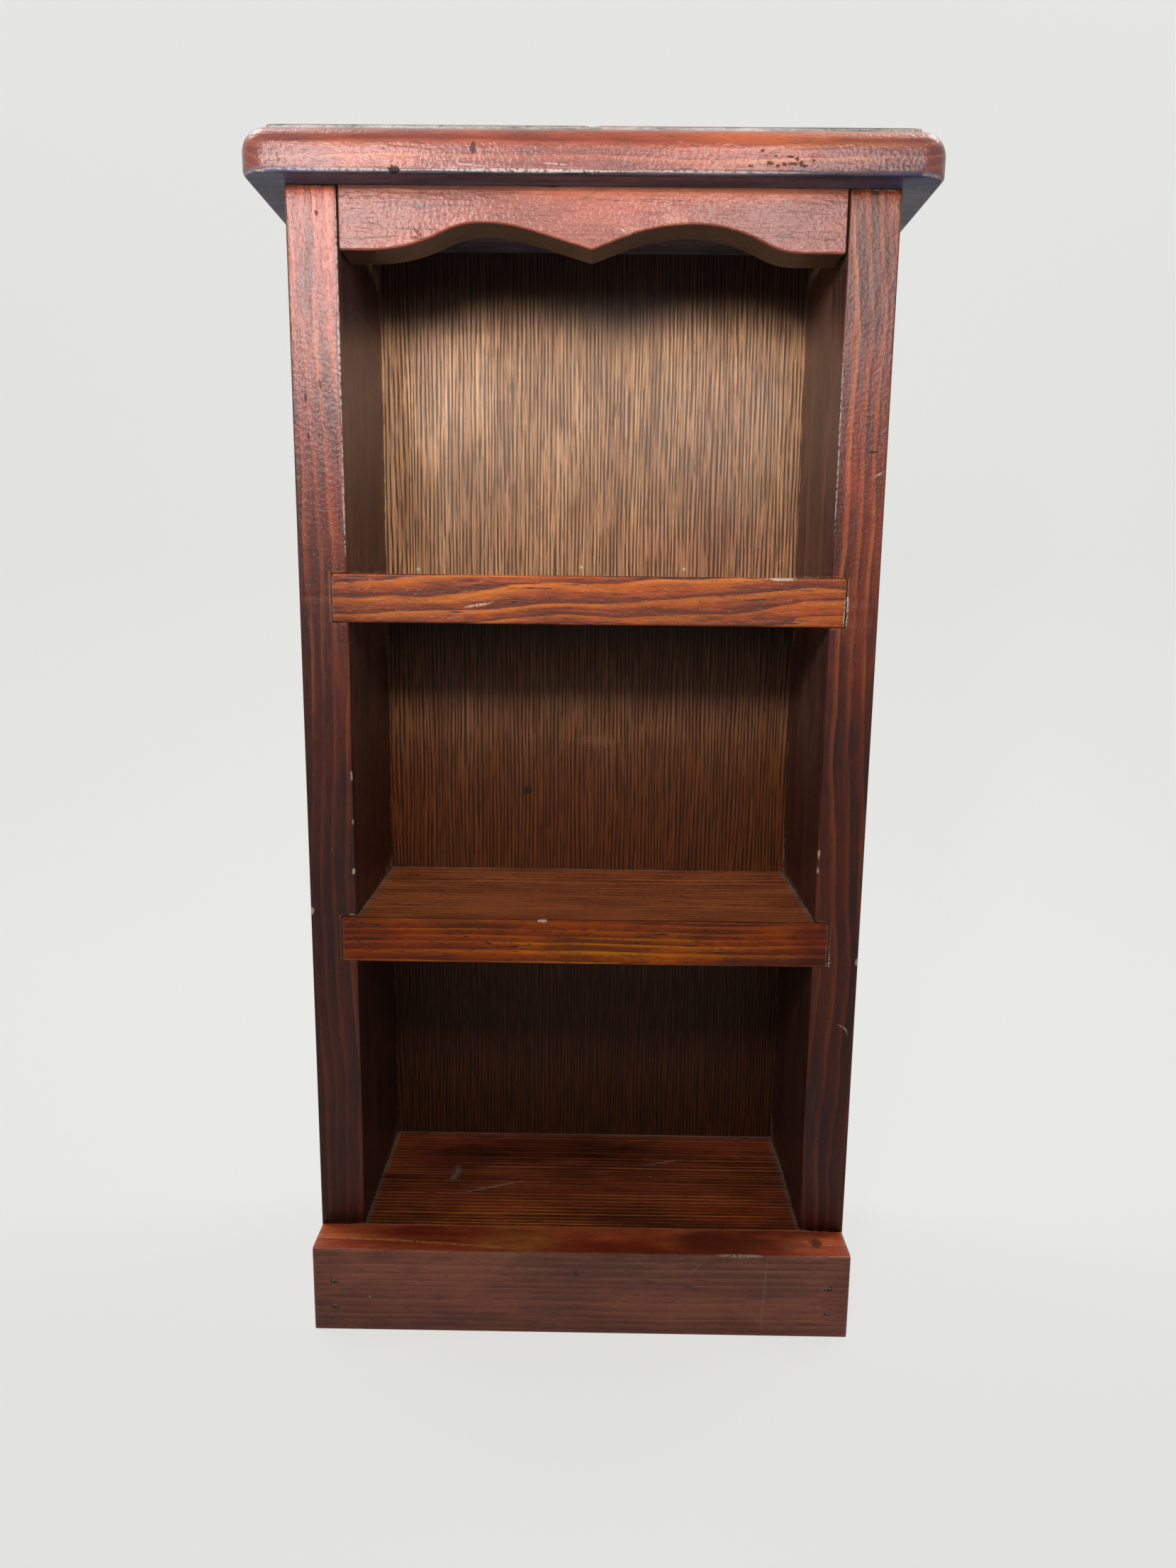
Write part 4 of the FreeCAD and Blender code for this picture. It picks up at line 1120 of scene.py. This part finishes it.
BOARDS["plinth_board"] = dict(
    along="X", pith=(-44, -130), ring_width=3.2, palette=PLINTH_BROWN, seed=8, rub=0.5, chip=0.35,
    line=0.6, wander=1.5, wobble=0.12, mottle=1.3,
    # The top zone is painted lighter than the wood, as painted light
    zones=[(PLINTH_TOP_AND_PAINTED_LIGHT, "Z", 37, 38), (PLINTH_BROWN, "Y", -52.8, -53.8)],
    marks=[
        wash((1.2, 2.2, 1.4), 0.8, (-27.7, -44, 38.1), (22, 12, 6)),
        wash((0.3, 0.3, 0.4), 0.8, (60, -46, 38.1), (34, 14, 5)),
        wash((0.6, 0.45, 0.45), 0.8, (-68, -42, 38.1), (26, 9, 5)),
        wash((0.55, 0.4, 0.4), 0.7, (18, -50, 38.1), (26, 8, 5)),
        wash((1.2, 1.6, 2), 0.9, (96, -44.5, 38.1), (14, 8, 4)),
        wash((0.5, 0.45, 0.5), 0.7, (-83.9, -54, 36), (14, 4, 4)),
        wash((0.9, 1.05, 0.95), 0.8, (10, -54, 32), (80, 2, 7)),
        *[
            wash((0.78, 0.72, 0.78), 0.8, (across, -54, 20), (12, 2, 26))
            for across in (-112, 112)
        ],
        scratch(
            (0.95, 0.40, 0.10), 0.8, (-116, -45.3, 38.1), (-17.9, -52.8, 38.1), 0.9, (0, 1.45, 0)),
        dab(BLACK_MARK, 0.7, (101, -44, 38.1), (3, 3.5, 2), 0.4),
        dab(BLACK_MARK, 0.6, (-2.2, -54, 28.5), (1.2, 1.5, 1.6), 0.4),
        dab(BLACK_MARK, 0.6, (45.6, -54, 23.4), (2.2, 1.5, 0.9), 0.4),
        dab(PALE_WOOD, 0.7, (-89.8, -54, 16.2), (0.7, 1, 0.7)),
        scratch(PALE_WOOD, 0.25, (78.7, -54, 37.3), (76.8, -54, 2.1), 0.7),
        scratch(PALE_WOOD, 0.3, (45.2, -54, 28.4), (53.9, -54, 36.8), 0.5),
        scratch(PALE_WOOD, 0.8, (55.4, -53.7, 38), (79.2, -53.7, 38), 1),
    ],
)


def build_boards():
    """The pine boards with their finishes, their own marks and their worn arrises."""
    for node, settings in BOARDS.items():
        finish = stained_pine(node, **settings)
        if node == "top_board":
            mesh = moulded_top()
        else:
            shortest = 0.0 if node == "scalloped_apron" else SHORTEST_ARRIS
            mesh = board_mesh(node, settings["along"], shortest)
        wear_down(mesh, node, settings["rub"], settings["chip"], finish)


def finish_back():
    """The plywood back keeps its CAD shape and gets its finish."""
    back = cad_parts["back_panel"].data
    back.materials.clear()
    back.materials.append(stained_plywood())


def looked_at(r):
    """One for what the camera sees directly, in a reflection or through glass."""
    path = r.node("ShaderNodeLightPath").outputs
    mirrored = r.sum("MAXIMUM", path["Is Glossy Ray"], path["Is Transmission Ray"])
    return r.sum("MAXIMUM", path["Is Camera Ray"], mirrored)


# How far the backdrop's own lightness covers the shadows on it
SEEN_SHARE = 0.8


def plain_surface(name, shade, seen):
    """A plain pale surface that the camera sees at its own lightness, under the shadows."""
    material = bpy.data.materials.new(name)
    r = fresh_recipe(material)
    paint = r.first("ShaderNodeBsdfDiffuse", [("Color", shade)])
    light = r.first("ShaderNodeEmission", [("Color", seen), ("Strength", 1)])
    share = r.times(looked_at(r), SEEN_SHARE)
    mixed = r.first("ShaderNodeMixShader", [(0, share), (1, paint), (2, light)])
    r.node("ShaderNodeOutputMaterial", [("Surface", mixed)])
    return material


def build_stage():
    """A pale floor that sweeps up behind the shelf unit."""
    half_width, front, back, height, bend = 3.0, -3.0, 0.75, 2.6, 0.35
    profile = [(front, 0.0), (back - bend, 0.0)]
    profile += [
        (back - bend + bend * sine, bend - bend * cosine) for sine, cosine in quarter(16)[1:]]
    profile.append((back, height))
    verts = [(side * half_width, y, z) for y, z in profile for side in (-1, 1)]
    faces = [(2 * i, 2 * i + 1, 2 * i + 3, 2 * i + 2) for i in range(len(profile) - 1)]
    mesh = bpy.data.meshes.new("backdrop")
    mesh.from_pydata(verts, [], faces)
    for face in mesh.polygons:
        face.use_smooth = True
    mesh.materials.append(plain_surface("backdrop_paint", (0.74, 0.74, 0.72), (0.88, 0.88, 0.86)))
    new_object("backdrop", mesh)


def add_lamp(name, place, target, size, watts, spread=180.0, lights=True, shines=True):
    """A soft lamp that faces a target. Its size is (width, height); it lights, shines or both."""
    data = bpy.data.lights.new(name, "AREA")
    data.shape = "RECTANGLE"
    data.size, data.size_y = size
    data.energy = watts
    data.spread = math.radians(spread)
    lamp = new_object(name, data)
    lamp.location = place
    lamp.rotation_euler = (Vector(place) - Vector(target)).to_track_quat("Z", "Y").to_euler()
    lamp.visible_diffuse = lights
    lamp.visible_glossy = shines


def light_studio():
    """One lamp over the camera that lights the front, two tall ones for its sheen, two large ones
    behind for the back, and a pale world."""
    add_lamp(
        "front_lamp", (-0.056, -0.42, 0.505), (0.0, -0.03, 0.40), (0.05, 0.09), 0.54, 90.0,
        shines=False)
    for name, across, target, watts in (
        ("left_sheen", -0.21, -0.03, 0.45), ("right_sheen", 0.135, 0.03, 0.30),
    ):
        add_lamp(
            name, (across, -0.538, 0.60), (target, -0.03, 0.45), (0.12, 0.30), watts, 70.0,
            lights=False)
    for name, across in (("left_back_lamp", -0.75), ("right_back_lamp", 0.75)):
        add_lamp(name, (across, 0.40, 1.6), (0.0, 0.05, 0.25), (0.6, 0.6), 9.0)
    world = bpy.data.worlds.new("pale_surroundings")
    bpy.context.scene.world = world
    r = fresh_recipe(world)
    glow = r.first("ShaderNodeBackground", [("Color", (0.85, 0.92, 1)), ("Strength", 0.06)])
    seen = r.first("ShaderNodeBackground", [("Color", (0.77, 0.77, 0.75)), ("Strength", 1)])
    mixed = r.first("ShaderNodeMixShader", [(0, looked_at(r)), (1, glow), (2, seen)])
    r.node("ShaderNodeOutputWorld", [("Surface", mixed)])
    bpy.context.scene.view_settings.view_transform = "Standard"


place_camera()
build_stage()
light_studio()
build_boards()
finish_back()
drive_nails(nail_steel())
